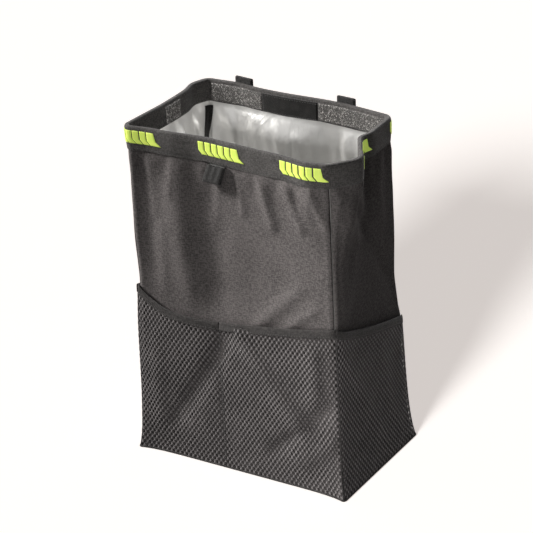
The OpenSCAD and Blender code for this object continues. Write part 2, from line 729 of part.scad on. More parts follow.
// Side view of a folded loop of webbing that lies along Y from 0 to its length, closed at the far end
module web_loop_outline(reach) {
    r = web_t + web_gap / 2;
    difference() {
        union() {
            square([2 * r, reach - r]);
            translate([r, reach - r]) circle(r, $fn = 24);
        }
        translate([web_t, -1]) square([web_gap, reach - r + 1]);
        translate([r, reach - r]) circle(web_gap / 2, $fn = 24);
    }
}

// The tab hangs from under the front of the band and is cut level there
module front_tab() {
    a = wall_point(0, 2, band_z, 0)[0];
    b = wall_point(0, COLS - 2, band_z, 0)[0];
    c = place(0, (tab_x - a) / (b - a));
    off = web_clear + web_curve * tab_w;
    p = wall_point(0, c, band_z, -off);
    spare = tan(tab_lean) * tab_w;
    color(band_c)
    intersection() {
        translate([tab_x, p[1], band_z])
        rotate([0, tab_lean, 0])
        translate([0, 0, spare])
        rotate([0, 90, 0])
        rotate([0, 0, -90])
        linear_extrude(tab_w, center = true)
        web_loop_outline(tab_drop + spare);
        translate([tab_x - 2 * tab_w, p[1] - tab_w, band_z - 0.3 - 2 * tab_drop])
        cube([4 * tab_w, 2 * tab_w, 2 * tab_drop]);
    }
}

// A loop that stands on the back of the band and rises above the rim
module strap_loop(x) {
    a = wall_point(2, 2, bag_h, band_out_d)[0];
    b = wall_point(2, COLS - 2, bag_h, band_out_d)[0];
    c = place(2, (a - x) / (a - b));
    h = loop_strap_w / 2;
    c0 = place(2, (a - x - h) / (a - b));
    c1 = place(2, (a - x + h) / (a - b));
    p0 = wall_point(2, c0, bag_h, band_out_d);
    p1 = wall_point(2, c1, bag_h, band_out_d);
    p = wall_point(2, c, bag_h, band_out_d);
    turn = atan2(p0[1] - p1[1], p0[0] - p1[0]);
    lift = max(p[1], (p0[1] + p1[1]) / 2) + web_clear + mark_t + layer_gap;
    color(band_c)
    translate([x, lift, bag_h - loop_down])
    rotate([0, 0, turn])
    rotate([90, 0, 90])
    linear_extrude(loop_strap_w, center = true)
    web_loop_outline(loop_down + loop_rise);
}
module strap_loop_left() { strap_loop(loop_left_x); }
module strap_loop_right() { strap_loop(loop_right_x); }

base_panel();
base_board();
front_panel();
right_panel();
back_panel();
left_panel();
liner();
liner_tape_front_left();
liner_tape_front_right();
liner_tape_back_right();
liner_tape_back_left();
front_pocket_net();
right_pocket_net();
left_pocket_net();
front_pocket_hem();
right_pocket_hem();
left_pocket_hem();
rim_band();
stiffener_front();
stiffener_back();
stiffener_right_front();
stiffener_right_back();
stiffener_left_front();
stiffener_left_back();
hook_strip_back_left();
hook_strip_back_right();
loop_strip_back();
hook_strip_left();
hook_strip_right();
rim_marks();
front_tab();
strap_loop_left();
strap_loop_right();
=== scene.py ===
"""The look of a soft car bin: gathered fabric walls, a folded rim, a foil liner and net pockets.

Points are worked out in millimetres in the frame of the part, and made into meshes in metres.
Sides are numbered 0 front, 1 right, 2 back, 3 left, anticlockwise seen from above. u and s are
shares of the way along a side, from corner to corner. Depth is measured inwards from the
outside of the wall fabric.
"""

import math

import bpy
import numpy as np
from mathutils import Matrix, Vector


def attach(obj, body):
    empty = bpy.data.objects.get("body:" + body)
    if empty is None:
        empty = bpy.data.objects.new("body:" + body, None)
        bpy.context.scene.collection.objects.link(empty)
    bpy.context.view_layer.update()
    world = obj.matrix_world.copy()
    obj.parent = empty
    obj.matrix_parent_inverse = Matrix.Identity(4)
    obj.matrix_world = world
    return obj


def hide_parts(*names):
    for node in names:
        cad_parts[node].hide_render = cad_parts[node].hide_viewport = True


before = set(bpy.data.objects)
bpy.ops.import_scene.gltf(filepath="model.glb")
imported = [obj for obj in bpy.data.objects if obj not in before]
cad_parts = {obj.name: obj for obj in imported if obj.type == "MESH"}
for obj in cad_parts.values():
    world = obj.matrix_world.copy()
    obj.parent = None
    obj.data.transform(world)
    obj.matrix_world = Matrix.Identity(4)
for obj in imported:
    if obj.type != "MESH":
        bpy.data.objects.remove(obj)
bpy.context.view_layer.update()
MM = 0.001
BODY = "root"
TURN = 2 * math.pi
UPWARDS = [0, 0, 1.0]

# Sizes of the bin in millimetres, as its solids have them
BASE_W, BASE_D, BAG_H = 238.0, 150.0, 352.0
RIM_OUT_X = (0.0, -10.0, -16.0, -7.0)
RIM_OUT_Y = (-5.0, -7.0, -11.0, -3.0)
WAIST_IN, HEM_PULL, BASE_BOW, SIDE_BULGE = 4.5, 1.5, 5, 5
SEAM_R, RIM_R, LEAST_R = 2.5, 8.0, 1.2
BAND_H, BAND_IN_H, BAND_T = 25.0, 23.0, 1.0
BAND_Z = BAG_H - BAND_H
WALL_TOP = BAG_H - BAND_T - 0.2
POCKET_H, DIVIDER_H, POCKET_BACK_H, DIVIDER_AT = 183.0, 162.0, 139.0, 0.42
HEM_H = 9.0
NET_PITCH, NET_ROW = 4.8, 3.65
STRIP_H = 19.0
FLOOR_Z = 3.6
# Depths of the outside of the band, the liner, the inside of the band and the back of the strips
BAND_OUT_D, LINER_D, BAND_FACE_D, HOOK_D = -1.2, 2.6, 4.2, 4.4
# Heights at which the length of a side and of the rim are measured
SIDE_Z, RIM_Z = 175.0, 340.0
SIDES = ("front", "right", "back", "left")
OUT = np.array([[0, -1], [1, 0], [0, 1], [-1, 0]], float)
ALONG = np.array([[1, 0], [0, 1], [-1, 0], [0, -1]], float)
CORNER = np.array([[-1, -1], [1, -1], [1, 1], [-1, 1]], float)

# Waves of the rim line of each side: height in millimetres, place and half width as shares
RIM_WAVES = (
    ((4, 0.9, 0.07), (-6, 0.35, 0.3)),
    ((17, 0.22, 0.17), (-4, 0.56, 0.07)),
    ((5, 0.3, 0.25), (3, 0.85, 0.1)),
    ((4.5, 0.12, 0.1), (-1.8, 0.62, 0.2)),
)
# Folds of each clear wall: height at the pocket hem and its gain up to the band, as shares of
# FOLD_DEPTH, place at the hem and its drift up to the band, and half width, as shares of the side
FOLD_DEPTH = 3.5
WALL_FOLDS = (
    (
        (1.0, 0.3, 0.265, -0.04, 0.068), (-0.55, 0.33, 0.53, 0, 0.13), (-0.5, -0.6, 0.08, 0, 0.05),
        (0.9, 0, 1.0, 0, 0.2),
    ),
    ((0.9, 0, 0.12, 0, 0.085), (-0.9, 0, 0.94, -0.82, 0.09)),
    ((0.4, 0, 0.25, 0, 0.1), (-0.5, 0, 0.55, 0, 0.12)),
    ((0.4, 0, 0.7, 0, 0.12), (-0.5, 0, 0.4, 0, 0.12)),
)
# Small ridges of each wall in millimetres: run and z of both ends, half width and height
WALL_RIDGES = (
    (
        (145, 322, 158, 280, 5.5, 2.9), (174, 322, 190, 284, 5.2, 2.6), (202, 325, 217, 288, 5.0, 2.4),
        (120, 318, 126, 286, 4.6, 1.6), (138, 170, 183, 214, 7.0, 1.7), (165, 168, 198, 196, 5.0, 1.4),
        (98, 300, 92, 262, 6.0, 1.1), (22, 322, 26, 268, 6.0, 1.0), (36, 250, 30, 190, 9.0, 1.0),
        (48, 322, 46, 290, 4.5, 0.9),
    ),
    ((6, 322, 7, 292, 5.0, 1.6), (55, 280, 30, 205, 9.0, 1.4), (96, 322, 100, 260, 8.0, 1.2)),
    (
        (36, 320, 66, 150, 11.0, 2.4), (84, 322, 76, 236, 8.0, 1.8), (150, 322, 116, 190, 10.0, 2.2),
        (182, 318, 190, 214, 8.0, 1.8), (204, 120, 150, 30, 12.0, 1.8), (10, 130, 70, 40, 12.0, 1.8),
    ),
    (
        (26, 322, 40, 212, 8.0, 2.0), (62, 322, 58, 262, 6.0, 1.6), (104, 322, 84, 230, 8.0, 2.0),
        (118, 200, 96, 240, 8.0, 1.2),
    ),
)
# Ridges and dents of each net, in the same way
NET_RIDGES = (
    (
        (120, 152, 178, 72, 10.0, 3.8), (196, 152, 196, 108, 8.0, 2.2), (98, 138, 46, 50, 9.0, -2.6),
        (150, 36, 208, 92, 8.0, -2.4), (176, 30, 214, 62, 10.0, 2.0), (24, 120, 22, 40, 9.0, 1.6),
    ),
    ((12, 150, 66, 50, 9.0, 2.2), (80, 120, 100, 40, 10.0, 1.4)),
    (),
    (),
)
# Steps of the foil on the back wall, along X: height, start and width in millimetres
FOIL_STEPS = (
    (3.8, -106, 18), (-1.2, -86, 16), (3.4, -68, 46), (-7.5, -21, 60),
    (3.2, 43, 15), (-1.2, 58, 12), (2.0, 68, 14),
)


def hump(x, c, w):
    """A bell of height 1 at c, which fades over the half width w."""
    return np.exp(-(((x - c) / w) ** 2))


def ease(x):
    """A smooth step from 0 to 1."""
    t = np.clip(x, 0, 1)
    return t * t * (3 - 2 * t)


def ripple(x, y, seed, octaves=3):
    """A smooth, repeatable unevenness of about -1 to 1."""
    rng = np.random.default_rng(seed)
    total = 0.0
    for n in range(octaves):
        for _ in range(4):
            a, b, c = rng.uniform(-1, 1), rng.uniform(-1, 1), rng.uniform(0, TURN)
            total = total + np.sin((a * x + b * y) * 2**n + c) / 2**n
    return total / 4


def ridge(x, z, ax, az, bx, bz, width, height, soft=0.3):
    """A soft ridge along the line from a to b, which fades out past both ends."""
    run = math.hypot(bx - ax, bz - az)
    t = ((x - ax) * (bx - ax) + (z - az) * (bz - az)) / run**2
    off = ((x - ax) * (bz - az) - (z - az) * (bx - ax)) / run
    return height * hump(off, 0, width) * ease((t + soft) / soft) * ease((1 + soft - t) / soft)


def ridges(x, z, rows):
    return sum(ridge(x, z, *row) for row in rows)


# The walls

def corner(q, z):
    """Places of corner q at the heights z."""
    q = q % 4
    waist = WAIST_IN * (1 - np.exp(-z / 26)) * (1 - (z / BAG_H) ** 4)
    pull = 0 if q == 1 else HEM_PULL * hump(z, POCKET_H, 34)
    x = BASE_W / 2 + RIM_OUT_X[q] * z / BAG_H - waist - pull
    y = BASE_D / 2 + RIM_OUT_Y[q] * z / BAG_H - waist - pull
    return np.stack([CORNER[q, 0] * x, CORNER[q, 1] * y], -1)


def fold_shape(k, s, v):
    """Folds of the clear wall; v runs from 0 at the pocket hem to 1 at the band."""
    out = sum((h + gain * v) * hump(s, at + drift * v, w) for h, gain, at, drift, w in WALL_FOLDS[k])
    if k == 0:
        # The deep valley beside the tab, which bends near the band
        out = out - 1.1 * hump(s, 0.4 - 0.02 * ease(2 * v - 1), 0.08)
    return FOLD_DEPTH * out


def bulge(k, s, z):
    """How far side k stands out of the flat between its corners."""
    below = BAND_Z - z
    rim = sum(height * hump(s, place, width) for height, place, width in RIM_WAVES[k])
    fold = ease((z - POCKET_H + 30) / 50) * (1 - 0.75 * ease(1 - below / 40))
    v = np.clip((z - POCKET_H) / (BAND_Z - POCKET_H), 0, 1)
    out = rim * ease(1 - below / 90) + fold_shape(k, s, v) * fold
    if k == 0:
        out = out - BASE_BOW * np.exp(-z / 60)
    if k == 3:
        out = out + SIDE_BULGE * hump(s, 0.85, 0.17) * ease(z / 45) * ease((below + 10) / 90)
    return (1 - np.abs(2 * s - 1) ** 8) * out


def wall(k, u, z, d=0.0):
    """Points of side k at the shares u, heights z and depths d, which are arrays of one shape."""
    u, z, d = np.broadcast_arrays(np.asarray(u, float), np.asarray(z, float), np.asarray(d, float))
    n, t = OUT[k], ALONG[k]
    a = corner(k, z) + d[..., None] * (t - n)
    b = corner(k + 1, z) - d[..., None] * (t + n)
    run = np.linalg.norm(b - a, axis=-1)
    # Each corner is rounded, and half of its arc belongs to this side
    r = np.maximum(SEAM_R + (RIM_R - SEAM_R) * ease(1 - (BAND_Z - z) / 60) - d, LEAST_R)
    arc = math.pi / 4 * r
    whole = run - 2 * r + 2 * arc
    q = u * whole
    back = whole - q
    near_a, near_b = q < arc, back < arc
    turn = np.where(near_a, math.pi / 4 - q / r, np.where(near_b, math.pi / 4 - back / r, 0))
    tuck = r * (1 - np.cos(turn))
    m = np.where(near_a, r - r * np.sin(turn), np.where(near_b, run - r + r * np.sin(turn), r + q - arc))
    cut = 0.2929 * r
    s = (m - cut) / (run - 2 * cut)
    p = a + (b - a) * (m / run)[..., None] + n * (bulge(k, s, z) - tuck)[..., None]
    return np.concatenate([p, z[..., None]], -1)


def run_along(path):
    """Running length at each point of a path."""
    return np.concatenate([[0], np.cumsum(np.linalg.norm(np.diff(path, axis=0), axis=1))])


def run_round(points):
    """Running length of a closed row of points, one longer than the row."""
    return run_along(np.concatenate([points, points[:1]]))


WIDTH = [float(run_along(wall(k, np.linspace(0, 1, 200), SIDE_Z))[-1]) for k in range(4)]
RIM_WIDTH = [float(run_along(wall(k, np.linspace(0, 1, 400), RIM_Z, BAND_OUT_D))[-1]) for k in range(4)]


def round_places(counts):
    """Side and share of points spread all round, with a count for each side."""
    return np.repeat(np.arange(4), counts), np.concatenate([np.arange(n) / n for n in counts])


def ring(places, z, depth):
    """Points all round, as (round, across, 3); depth is numbers or a function of side, share and z."""
    sides, shares = places
    shape = (len(sides), np.shape(z)[-1])
    z = np.broadcast_to(z, shape)
    out = np.zeros((*shape, 3))
    for k in range(4):
        here = sides == k
        u = shares[here][:, None]
        d = depth(k, u, z[here]) if callable(depth) else np.broadcast_to(depth, shape)[here]
        out[here] = wall(k, u, z[here], d)
    return out


# Meshes

def add_mesh(name, points, faces, uvs=None):
    """A piece from points in millimetres; uvs holds one (u, v) in metres for each corner of each face."""
    me = bpy.data.meshes.new(name)
    me.from_pydata((np.reshape(points, (-1, 3)) * MM).tolist(), [], [list(map(int, f)) for f in faces])
    if uvs is not None:
        layer = me.uv_layers.new(name="UVMap")
        layer.data.foreach_set("uv", np.asarray(uvs, np.float32).ravel())
    me.polygons.foreach_set("use_smooth", [True] * len(me.polygons))
    me.update()
    o = bpy.data.objects.new(name, me)
    bpy.context.scene.collection.objects.link(o)
    return o


def grid_faces(nu, nv, round_u=False, round_v=False):
    """Faces of a grid of points, and the grid place of each corner, with closing rows unwrapped."""
    i, j = np.indices((nu - 1 + round_u, nv - 1 + round_v)).reshape(2, -1)
    ci = np.stack([i, i + 1, i + 1, i], 1)
    cj = np.stack([j, j, j + 1, j + 1], 1)
    return (ci % nu) * nv + cj % nv, ci, cj


def edge_faces(nu, nv):
    """Faces between the edges of two grids of nu by nv points that lie back to back."""
    rim = [i * nv for i in range(nu)] + [(nu - 1) * nv + j for j in range(1, nv)]
    rim += [i * nv + nv - 1 for i in range(nu - 2, -1, -1)] + list(range(nv - 2, 0, -1))
    n = nu * nv
    return [[a, b, n + b, n + a] for a, b in zip(rim, rim[1:] + rim[:1])]


def grid_piece(name, points, u_len, v_len, flip=False):
    """A smooth surface through a grid of points, with uvs from the lengths along both ways."""
    faces, ci, cj = grid_faces(*points.shape[:2])
    uv = np.stack([np.asarray(u_len)[ci], np.asarray(v_len)[cj]], -1) * MM
    if flip:
        faces, uv = faces[:, ::-1], uv[:, ::-1]
    return add_mesh(name, points, faces, uv)


def join(parts):
    """Points, faces and uvs of one mesh from those of several; the uvs may be left out of all."""
    points, faces, uvs, total = [], [], [], 0
    for p, f, *uv in parts:
        points.append(np.reshape(p, (-1, 3)))
        faces += [[v + total for v in face] for face in f]
        uvs += [np.reshape(one, (-1, 2)) for one in uv]
        total += len(points[-1])
    return np.concatenate(points), faces, np.concatenate(uvs) if uvs else None


def thicken(o, t, offset=-1.0):
    m = o.modifiers.new("thickness", "SOLIDIFY")
    m.thickness = t * MM
    m.offset = offset
    m.use_rim = True


def dress(o, mat):
    o.data.materials.clear()
    o.data.materials.append(mat)


def finish_piece(o, mat, node=None):
    """Gives a piece its material and its body, and hides the CAD part of the node that it stands for."""
    dress(o, mat)
    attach(o, BODY)
    if node:
        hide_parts(node)


def unit(v):
    return v / np.maximum(np.linalg.norm(v, axis=-1, keepdims=True), 1e-9)


def resample(path, out, step):
    """Points every step along a path from half a step on, with the directions along it and outwards."""
    run = run_along(path)
    at = np.arange(step / 2, run[-1], step)

    def read(values, places):
        return np.stack([np.interp(places, run, values[:, i]) for i in range(3)], 1)

    p = read(path, at)
    t = unit(read(path, at + 0.2) - p + 1e-12)
    n = read(out, at)
    return p, t, unit(n - (n * t).sum(1, keepdims=True) * t)


def stitch_row(path, out, pitch, length, radius, sink=0.1):
    """Points and faces of a row of lock stitches along a path on a surface."""
    p, t, n = (v[:, None, None] for v in resample(path, out, pitch))
    b = np.cross(t, n)
    # Each stitch is a thin spindle of 5 rings of 6 points, whose ends dip into the cloth
    along = np.array([-0.5, -0.36, 0.0, 0.36, 0.5])[:, None, None] * length
    fat = np.array([0.35, 0.9, 1.0, 0.9, 0.35])[:, None, None] * radius
    lift = np.array([-0.5, 0.4, 0.6, 0.4, -0.5])[:, None, None] * radius - sink
    angle = (np.arange(6) * math.pi / 3)[:, None]
    rings = p + t * along + n * (lift + fat * 0.7 * np.sin(angle)) + b * fat * np.cos(angle)
    one = []
    for r in range(4):
        for c in range(6):
            a, d = 6 * r + c, 6 * r + (c + 1) % 6
            one.append([a, d, d + 6, a + 6])
    one += [list(range(5, -1, -1)), list(range(24, 30))]
    return rings, [[30 * q + v for v in face] for q in range(len(p)) for face in one]


def stitches(name, rows, pitch, length, radius):
    """One piece with many rows of stitches."""
    points, faces, _ = join(stitch_row(path, out, pitch, length, radius) for path, out in rows)
    finish_piece(add_mesh(name, points, faces), THREAD)


def tube(path, radius, sides=8):
    """Points and faces of a closed tube along a path."""
    n = len(path)
    t = unit(np.gradient(path, axis=0))
    ref = np.tile(UPWARDS, (n, 1))
    a = unit(ref - (ref * t).sum(1, keepdims=True) * t)
    b = np.cross(t, a)
    angle = (np.arange(sides) * TURN / sides)[None, :, None]
    points = path[:, None] + radius * (a[:, None] * np.cos(angle) + b[:, None] * np.sin(angle))
    faces = grid_faces(n, sides, round_v=True)[0].tolist()
    faces += [list(range(sides)), [(n - 1) * sides + j for j in range(sides - 1, -1, -1)]]
    return points, faces


# Materials

class Mat:
    """A small helper for building one procedural material."""

    def __init__(self, name, color, roughness=0.8, gloss=0.5, sheen=(0.0, 0.5), **sockets):
        self.m = bpy.data.materials.new(name)
        self.m.use_nodes = True
        self.nt = self.m.node_tree
        self.nt.nodes.clear()
        out = self.nt.nodes.new("ShaderNodeOutputMaterial")
        self.bsdf = self.nt.nodes.new("ShaderNodeBsdfPrincipled")
        self.nt.links.new(self.bsdf.outputs[0], out.inputs[0])
        sockets.update(Base_Color=(*color, 1), Roughness=roughness, Specular_IOR_Level=gloss)
        sockets.update(Sheen_Weight=sheen[0], Sheen_Roughness=sheen[1])
        for key, value in sockets.items():
            self.bsdf.inputs[key.replace("_", " ")].default_value = value
        self.height = None

    def node(self, kind, inputs=None, **props):
        n = self.nt.nodes.new(kind)
        for key, value in props.items():
            setattr(n, key, value)
        for key, value in (inputs or {}).items():
            if isinstance(value, bpy.types.NodeSocket):
                self.nt.links.new(value, n.inputs[key])
            else:
                n.inputs[key].default_value = value
        return n

    def math(self, op, first, *others, clamp=False):
        """The values taken together from the left; clamp keeps the result from 0 to 1."""
        for other in others or (0.0,):
            n = self.node("ShaderNodeMath", {0: first, 1: other}, operation=op)
            first = n.outputs[0]
        n.use_clamp = clamp
        return first

    def times(self, a, b):
        return self.math("MULTIPLY", a, b)

    def add(self, *values):
        return self.math("ADD", *values)

    def wave(self, value, period, op="SINE"):
        return self.math(op, self.times(value, TURN / period))

    def above_zero(self, wave):
        """A wave of -1 to 1 brought to 0 to 1."""
        return self.times(self.add(wave, 1.0), 0.5)

    def uv(self):
        return self.node("ShaderNodeUVMap", uv_map="UVMap").outputs[0]

    def place(self):
        return self.node("ShaderNodeTexCoord").outputs["Object"]

    def axes(self, vector):
        n = self.node("ShaderNodeSeparateXYZ", {0: vector})
        return n.outputs[0], n.outputs[1]

    def stretch(self, vector, scales):
        return self.node("ShaderNodeVectorMath", {0: vector, 1: scales}, operation="MULTIPLY").outputs[0]

    def noise(self, vector, scale, detail=3.0, roughness=0.55, distortion=0.0):
        inputs = {"Vector": vector, "Scale": scale, "Detail": detail, "Roughness": roughness}
        return self.node("ShaderNodeTexNoise", {**inputs, "Distortion": distortion}).outputs["Fac"]

    def ramp(self, value, low, high, to_low=0.0, to_high=1.0):
        return self.node(
            "ShaderNodeMapRange",
            {"Value": value, "From Min": low, "From Max": high, "To Min": to_low, "To Max": to_high},
            interpolation_type="SMOOTHSTEP",
        ).outputs[0]

    def mix(self, factor, a, b):
        a, b = ((*v, 1) if isinstance(v, tuple) else v for v in (a, b))
        return self.node("ShaderNodeMix", {0: factor, 6: a, 7: b}, data_type="RGBA").outputs[2]

    def color(self, factor, dark, light):
        """Sets the colour, which goes from dark to light with the factor."""
        self.nt.links.new(self.mix(factor, dark, light), self.bsdf.inputs["Base Color"])

    def rough(self, *ramp):
        """Sets the roughness from the values of a ramp."""
        self.nt.links.new(self.ramp(*ramp), self.bsdf.inputs["Roughness"])

    def bump(self, height, distance, strength=1.0):
        """Adds a bump of the given depth in metres."""
        n = self.node("ShaderNodeBump", {"Height": height, "Distance": distance, "Strength": strength})
        if self.height is not None:
            self.nt.links.new(self.height, n.inputs["Normal"])
        self.height = n.outputs[0]
        self.nt.links.new(self.height, self.bsdf.inputs["Normal"])

    def grain(self, vector, long, short):
        """Unevenness of crossed threads, from noise drawn out both ways."""
        warp, weft = (self.stretch(vector, way) for way in ((long, short, 1.0), (short, long, 1.0)))
        return self.times(self.add(self.noise(warp, 1.0, 2.0), self.noise(weft, 1.0, 2.0)), 0.5)

    def weave(self, vector, pitch):
        """Height of a plain weave with the given thread pitch in metres, from 0 to 1."""
        u, v = self.axes(vector)
        return self.above_zero(self.times(self.wave(u, 2 * pitch), self.wave(v, 2 * pitch)))


def fabric(name, dark, light, pitch=0.0009, speckle_and_glints=1.0):
    """Woven polyester: a plain weave, fine light specks that are partly heather in the yarn and partly
    painted glints, soft wear and a dull sheen.
    """
    m = Mat(name, dark, 0.7, gloss=0.02, sheen=(0.02, 0.45))
    uv, at = m.uv(), m.place()
    weave = m.weave(uv, pitch)
    threads = m.grain(uv, 260.0, 1000.0)
    slub = m.noise(m.stretch(uv, (160.0, 900.0, 1.0)), 1.0, 2.0)
    soft = m.noise(at, 26.0, 4.0)
    # Light specks and streaks: partly heather in the yarn, partly painted glints
    speckles = m.times(m.ramp(threads, 0.42, 0.6), 0.55 * speckle_and_glints)
    streaks = m.times(m.ramp(slub, 0.35, 0.7), 0.25 * speckle_and_glints)
    wear = m.times(m.ramp(soft, 0.3, 0.75), 0.25)
    m.color(m.math("ADD", speckles, streaks, m.times(weave, 0.2), wear, clamp=True), dark, light)
    m.rough(soft, 0.3, 0.8, 0.64, 0.78)
    m.bump(m.noise(at, 95.0, 3.0), 0.0007, 0.35)
    m.bump(weave, 0.00022, 0.8)
    m.bump(threads, 0.00018, 0.6)
    return m.m


def tape(name, dark, light, rib=0.0011, sheen=0.1, rough=0.72, along=True, depth=0.00022):
    """Woven tape: fine ribs across its length, a herringbone shift and soft wear."""
    m = Mat(name, dark, rough, gloss=0.08, sheen=(sheen, 0.4))
    uv, at = m.uv(), m.place()
    u, v = m.axes(uv) if along else m.axes(uv)[::-1]
    zigzag = m.math("ABSOLUTE", m.math("SUBTRACT", m.math("FRACT", m.times(v, 160.0)), 0.5))
    ribs = m.above_zero(m.wave(m.add(u, m.times(zigzag, 0.004)), rib))
    threads = m.grain(uv, 300.0, 1000.0)
    soft = m.noise(at, 60.0, 3.0)
    speckles = m.times(m.ramp(threads, 0.42, 0.6), 0.6)
    wear = m.times(m.ramp(soft, 0.35, 0.7), 0.25)
    m.color(m.math("ADD", m.times(ribs, 0.25), speckles, wear, clamp=True), dark, light)
    m.rough(soft, 0.3, 0.8, rough - 0.08, rough + 0.08)
    m.bump(m.noise(at, 140.0, 2.0), 0.0008, 0.3)
    m.bump(ribs, depth, 0.9)
    m.bump(threads, 0.0002, 0.5)
    return m.m


def foil_material():
    """Silver film: a satin metal coat with fine crumples, and random darker patches painted in as dark
    reflections.
    """
    m = Mat("foil_film", (0.46, 0.457, 0.445), 0.3, Metallic=0.55)
    at = m.place()
    crumple = m.noise(m.stretch(at, (1.0, 1.0, 0.45)), 34.0, 4.0, 0.5, 0.4)
    fine = m.noise(at, 240.0, 3.0, 0.6)
    # Random darker patches: painted reflection, standing in for the dark reflections in the film
    dull = m.ramp(m.noise(at, 18.0, 4.0), 0.35, 0.7)
    m.color(dull, (0.50, 0.497, 0.485), (0.40, 0.397, 0.388))
    m.rough(fine, 0.3, 0.75, 0.3, 0.4)
    m.bump(crumple, 0.007, 0.35)
    m.bump(fine, 0.0003, 0.2)
    return m.m


def hook_material():
    """Hook strip: stiff plastic hooks over a dark ground, with painted glints lightening the hook tips in
    scattered patches.
    """
    m = Mat("hook_pile", (0.12, 0.12, 0.12), 0.55, gloss=0.2)
    cells = {"Vector": m.uv(), "Scale": 900.0, "Randomness": 0.6}
    hooks = m.node("ShaderNodeTexVoronoi", cells).outputs["Distance"]
    patch = m.noise(m.place(), 420.0, 2.0)
    # The hook tips are painted light in patches: painted glints
    painted_tip_glints = m.times(m.ramp(hooks, 0.55, 0.15), m.ramp(patch, 0.28, 0.66))
    m.color(painted_tip_glints, (0.06, 0.058, 0.056), (0.60, 0.575, 0.55))
    m.rough(hooks, 0.1, 0.6, 0.4, 0.8)
    m.bump(m.ramp(hooks, 0.5, 0.1), 0.0007, 0.8)
    return m.m


def loop_material():
    """Loop strip: soft black pile."""
    m = Mat("loop_pile", (0.018, 0.017, 0.017), 0.92, gloss=0.1, sheen=(0.5, 0.35))
    pile = m.noise(m.uv(), 1500.0, 3.0, 0.7)
    patch = m.noise(m.place(), 120.0, 3.0)
    m.color(m.times(pile, m.ramp(patch, 0.3, 0.7, 0.5, 1.0)), (0.010, 0.010, 0.010), (0.05, 0.048, 0.046))
    m.bump(pile, 0.0006, 0.8)
    return m.m


def net_material():
    """Knitted nylon net: twisted yarns that thicken to raised knots between the openings, with a painted
    highlight on each knot.
    """
    m = Mat("net_yarn", (0.085, 0.078, 0.078), 0.55, gloss=0.2, sheen=(0.03, 0.4))
    uv = m.uv()
    u, v = m.axes(uv)
    rise = m.times(v, TURN / (2 * NET_ROW * MM))
    side = m.times(u, TURN / (NET_PITCH * MM))
    row = m.wave(v, NET_ROW * MM, "COSINE")
    leans = m.add(m.math("COSINE", m.add(side, rise)), m.math("COSINE", m.math("SUBTRACT", side, rise)))
    # The knots are raised by the bump, and lightened in colour as a painted highlight
    knot_and_painted_highlight = m.ramp(m.math("SUBTRACT", row, leans), -0.9, 2.6)
    twist = m.wave(m.add(u, m.times(v, 2.0)), 0.0007)
    soft = m.noise(m.place(), 30.0, 3.0)
    fine = m.noise(uv, 1400.0, 2.0)
    shade = m.times(m.ramp(soft, 0.3, 0.7), 0.2)
    tone = m.math("ADD", shade, m.times(fine, 0.25), m.times(knot_and_painted_highlight, 0.7), clamp=True)
    m.color(tone, (0.034, 0.032, 0.032), (0.245, 0.227, 0.229))
    m.rough(fine, 0.3, 0.7, 0.46, 0.64)
    m.bump(knot_and_painted_highlight, 0.0005, 0.7)
    m.bump(twist, 0.00012, 0.6)
    m.bump(fine, 0.0002, 0.5)
    return m.m


def mark_material():
    """Bright printed marks: a grained yellow-green film, with a faint painted glow that lightens it beyond
    what the lamps give.
    """
    # A faint emission: painted glow that keeps the marks evenly bright
    painted_glow = {"Emission_Color": (0.75, 1.0, 0.16, 1.0), "Emission_Strength": 0.2}
    m = Mat("bright_marks", (0.70, 0.93, 0.12), 0.5, gloss=0.3, **painted_glow)
    at = m.place()
    grain = m.noise(at, 1500.0, 2.0)
    m.color(m.ramp(m.noise(at, 160.0, 3.0), 0.3, 0.75), (0.84, 1.0, 0.19), (0.75, 0.95, 0.155))
    m.rough(grain, 0.3, 0.7, 0.42, 0.6)
    m.bump(grain, 0.00012, 0.6)
    m.bump(m.weave(at, 0.0011), 0.00012, 0.5)
    return m.m


def thread_material():
    """Black sewing thread."""
    m = Mat("black_thread", (0.02, 0.02, 0.02), 0.55, gloss=0.3, sheen=(0.2, 0.5))
    fine = m.noise(m.place(), 2600.0, 2.0)
    m.color(fine, (0.014, 0.014, 0.014), (0.055, 0.053, 0.052))
    m.bump(fine, 0.0002, 0.6)
    return m.m


def board_material():
    """Stiff grey board."""
    m = Mat("stiff_board", (0.25, 0.25, 0.26), 0.6)
    grain = m.noise(m.place(), 500.0, 3.0)
    m.color(grain, (0.2, 0.2, 0.21), (0.3, 0.3, 0.31))
    m.bump(grain, 0.0001, 0.4)
    return m.m


WALL = fabric("wall_cloth", (0.055, 0.051, 0.051), (0.17, 0.156, 0.154), speckle_and_glints=1.25)
BASE_CLOTH = fabric("base_cloth", (0.045, 0.042, 0.042), (0.10, 0.094, 0.093), pitch=0.0011)
RIM = tape("rim_tape", (0.045, 0.043, 0.042), (0.15, 0.143, 0.139))
HEM = tape("hem_tape", (0.022, 0.021, 0.021), (0.085, 0.079, 0.077), rib=0.0009)
SEAM_TAPE = tape("liner_seam_tape", (0.012, 0.012, 0.012), (0.04, 0.038, 0.037), rib=0.0012, along=False)
WEBBING = tape(
    "webbing", (0.014, 0.014, 0.014), (0.055, 0.054, 0.053), rib=0.0013, sheen=0.12, rough=0.5, along=False,
    depth=0.00035,
)
FOIL = foil_material()
HOOK = hook_material()
LOOP = loop_material()
NET = net_material()
MARKS = mark_material()
THREAD = thread_material()
BOARD = board_material()


# The camera, where the photograph was taken from

AZ, EL, ROLL = (math.radians(a) for a in (31.544, 26.306, -2.178))
REACH, TARGET_Z = 2.479, 0.170
# Side, focal length and shifts of the photograph, in its pixels
PHOTO, FOCAL, SHIFT_X, SHIFT_Y = 533, 1.012 * 2479, -5.917, 24.446
SENSOR = 36.0


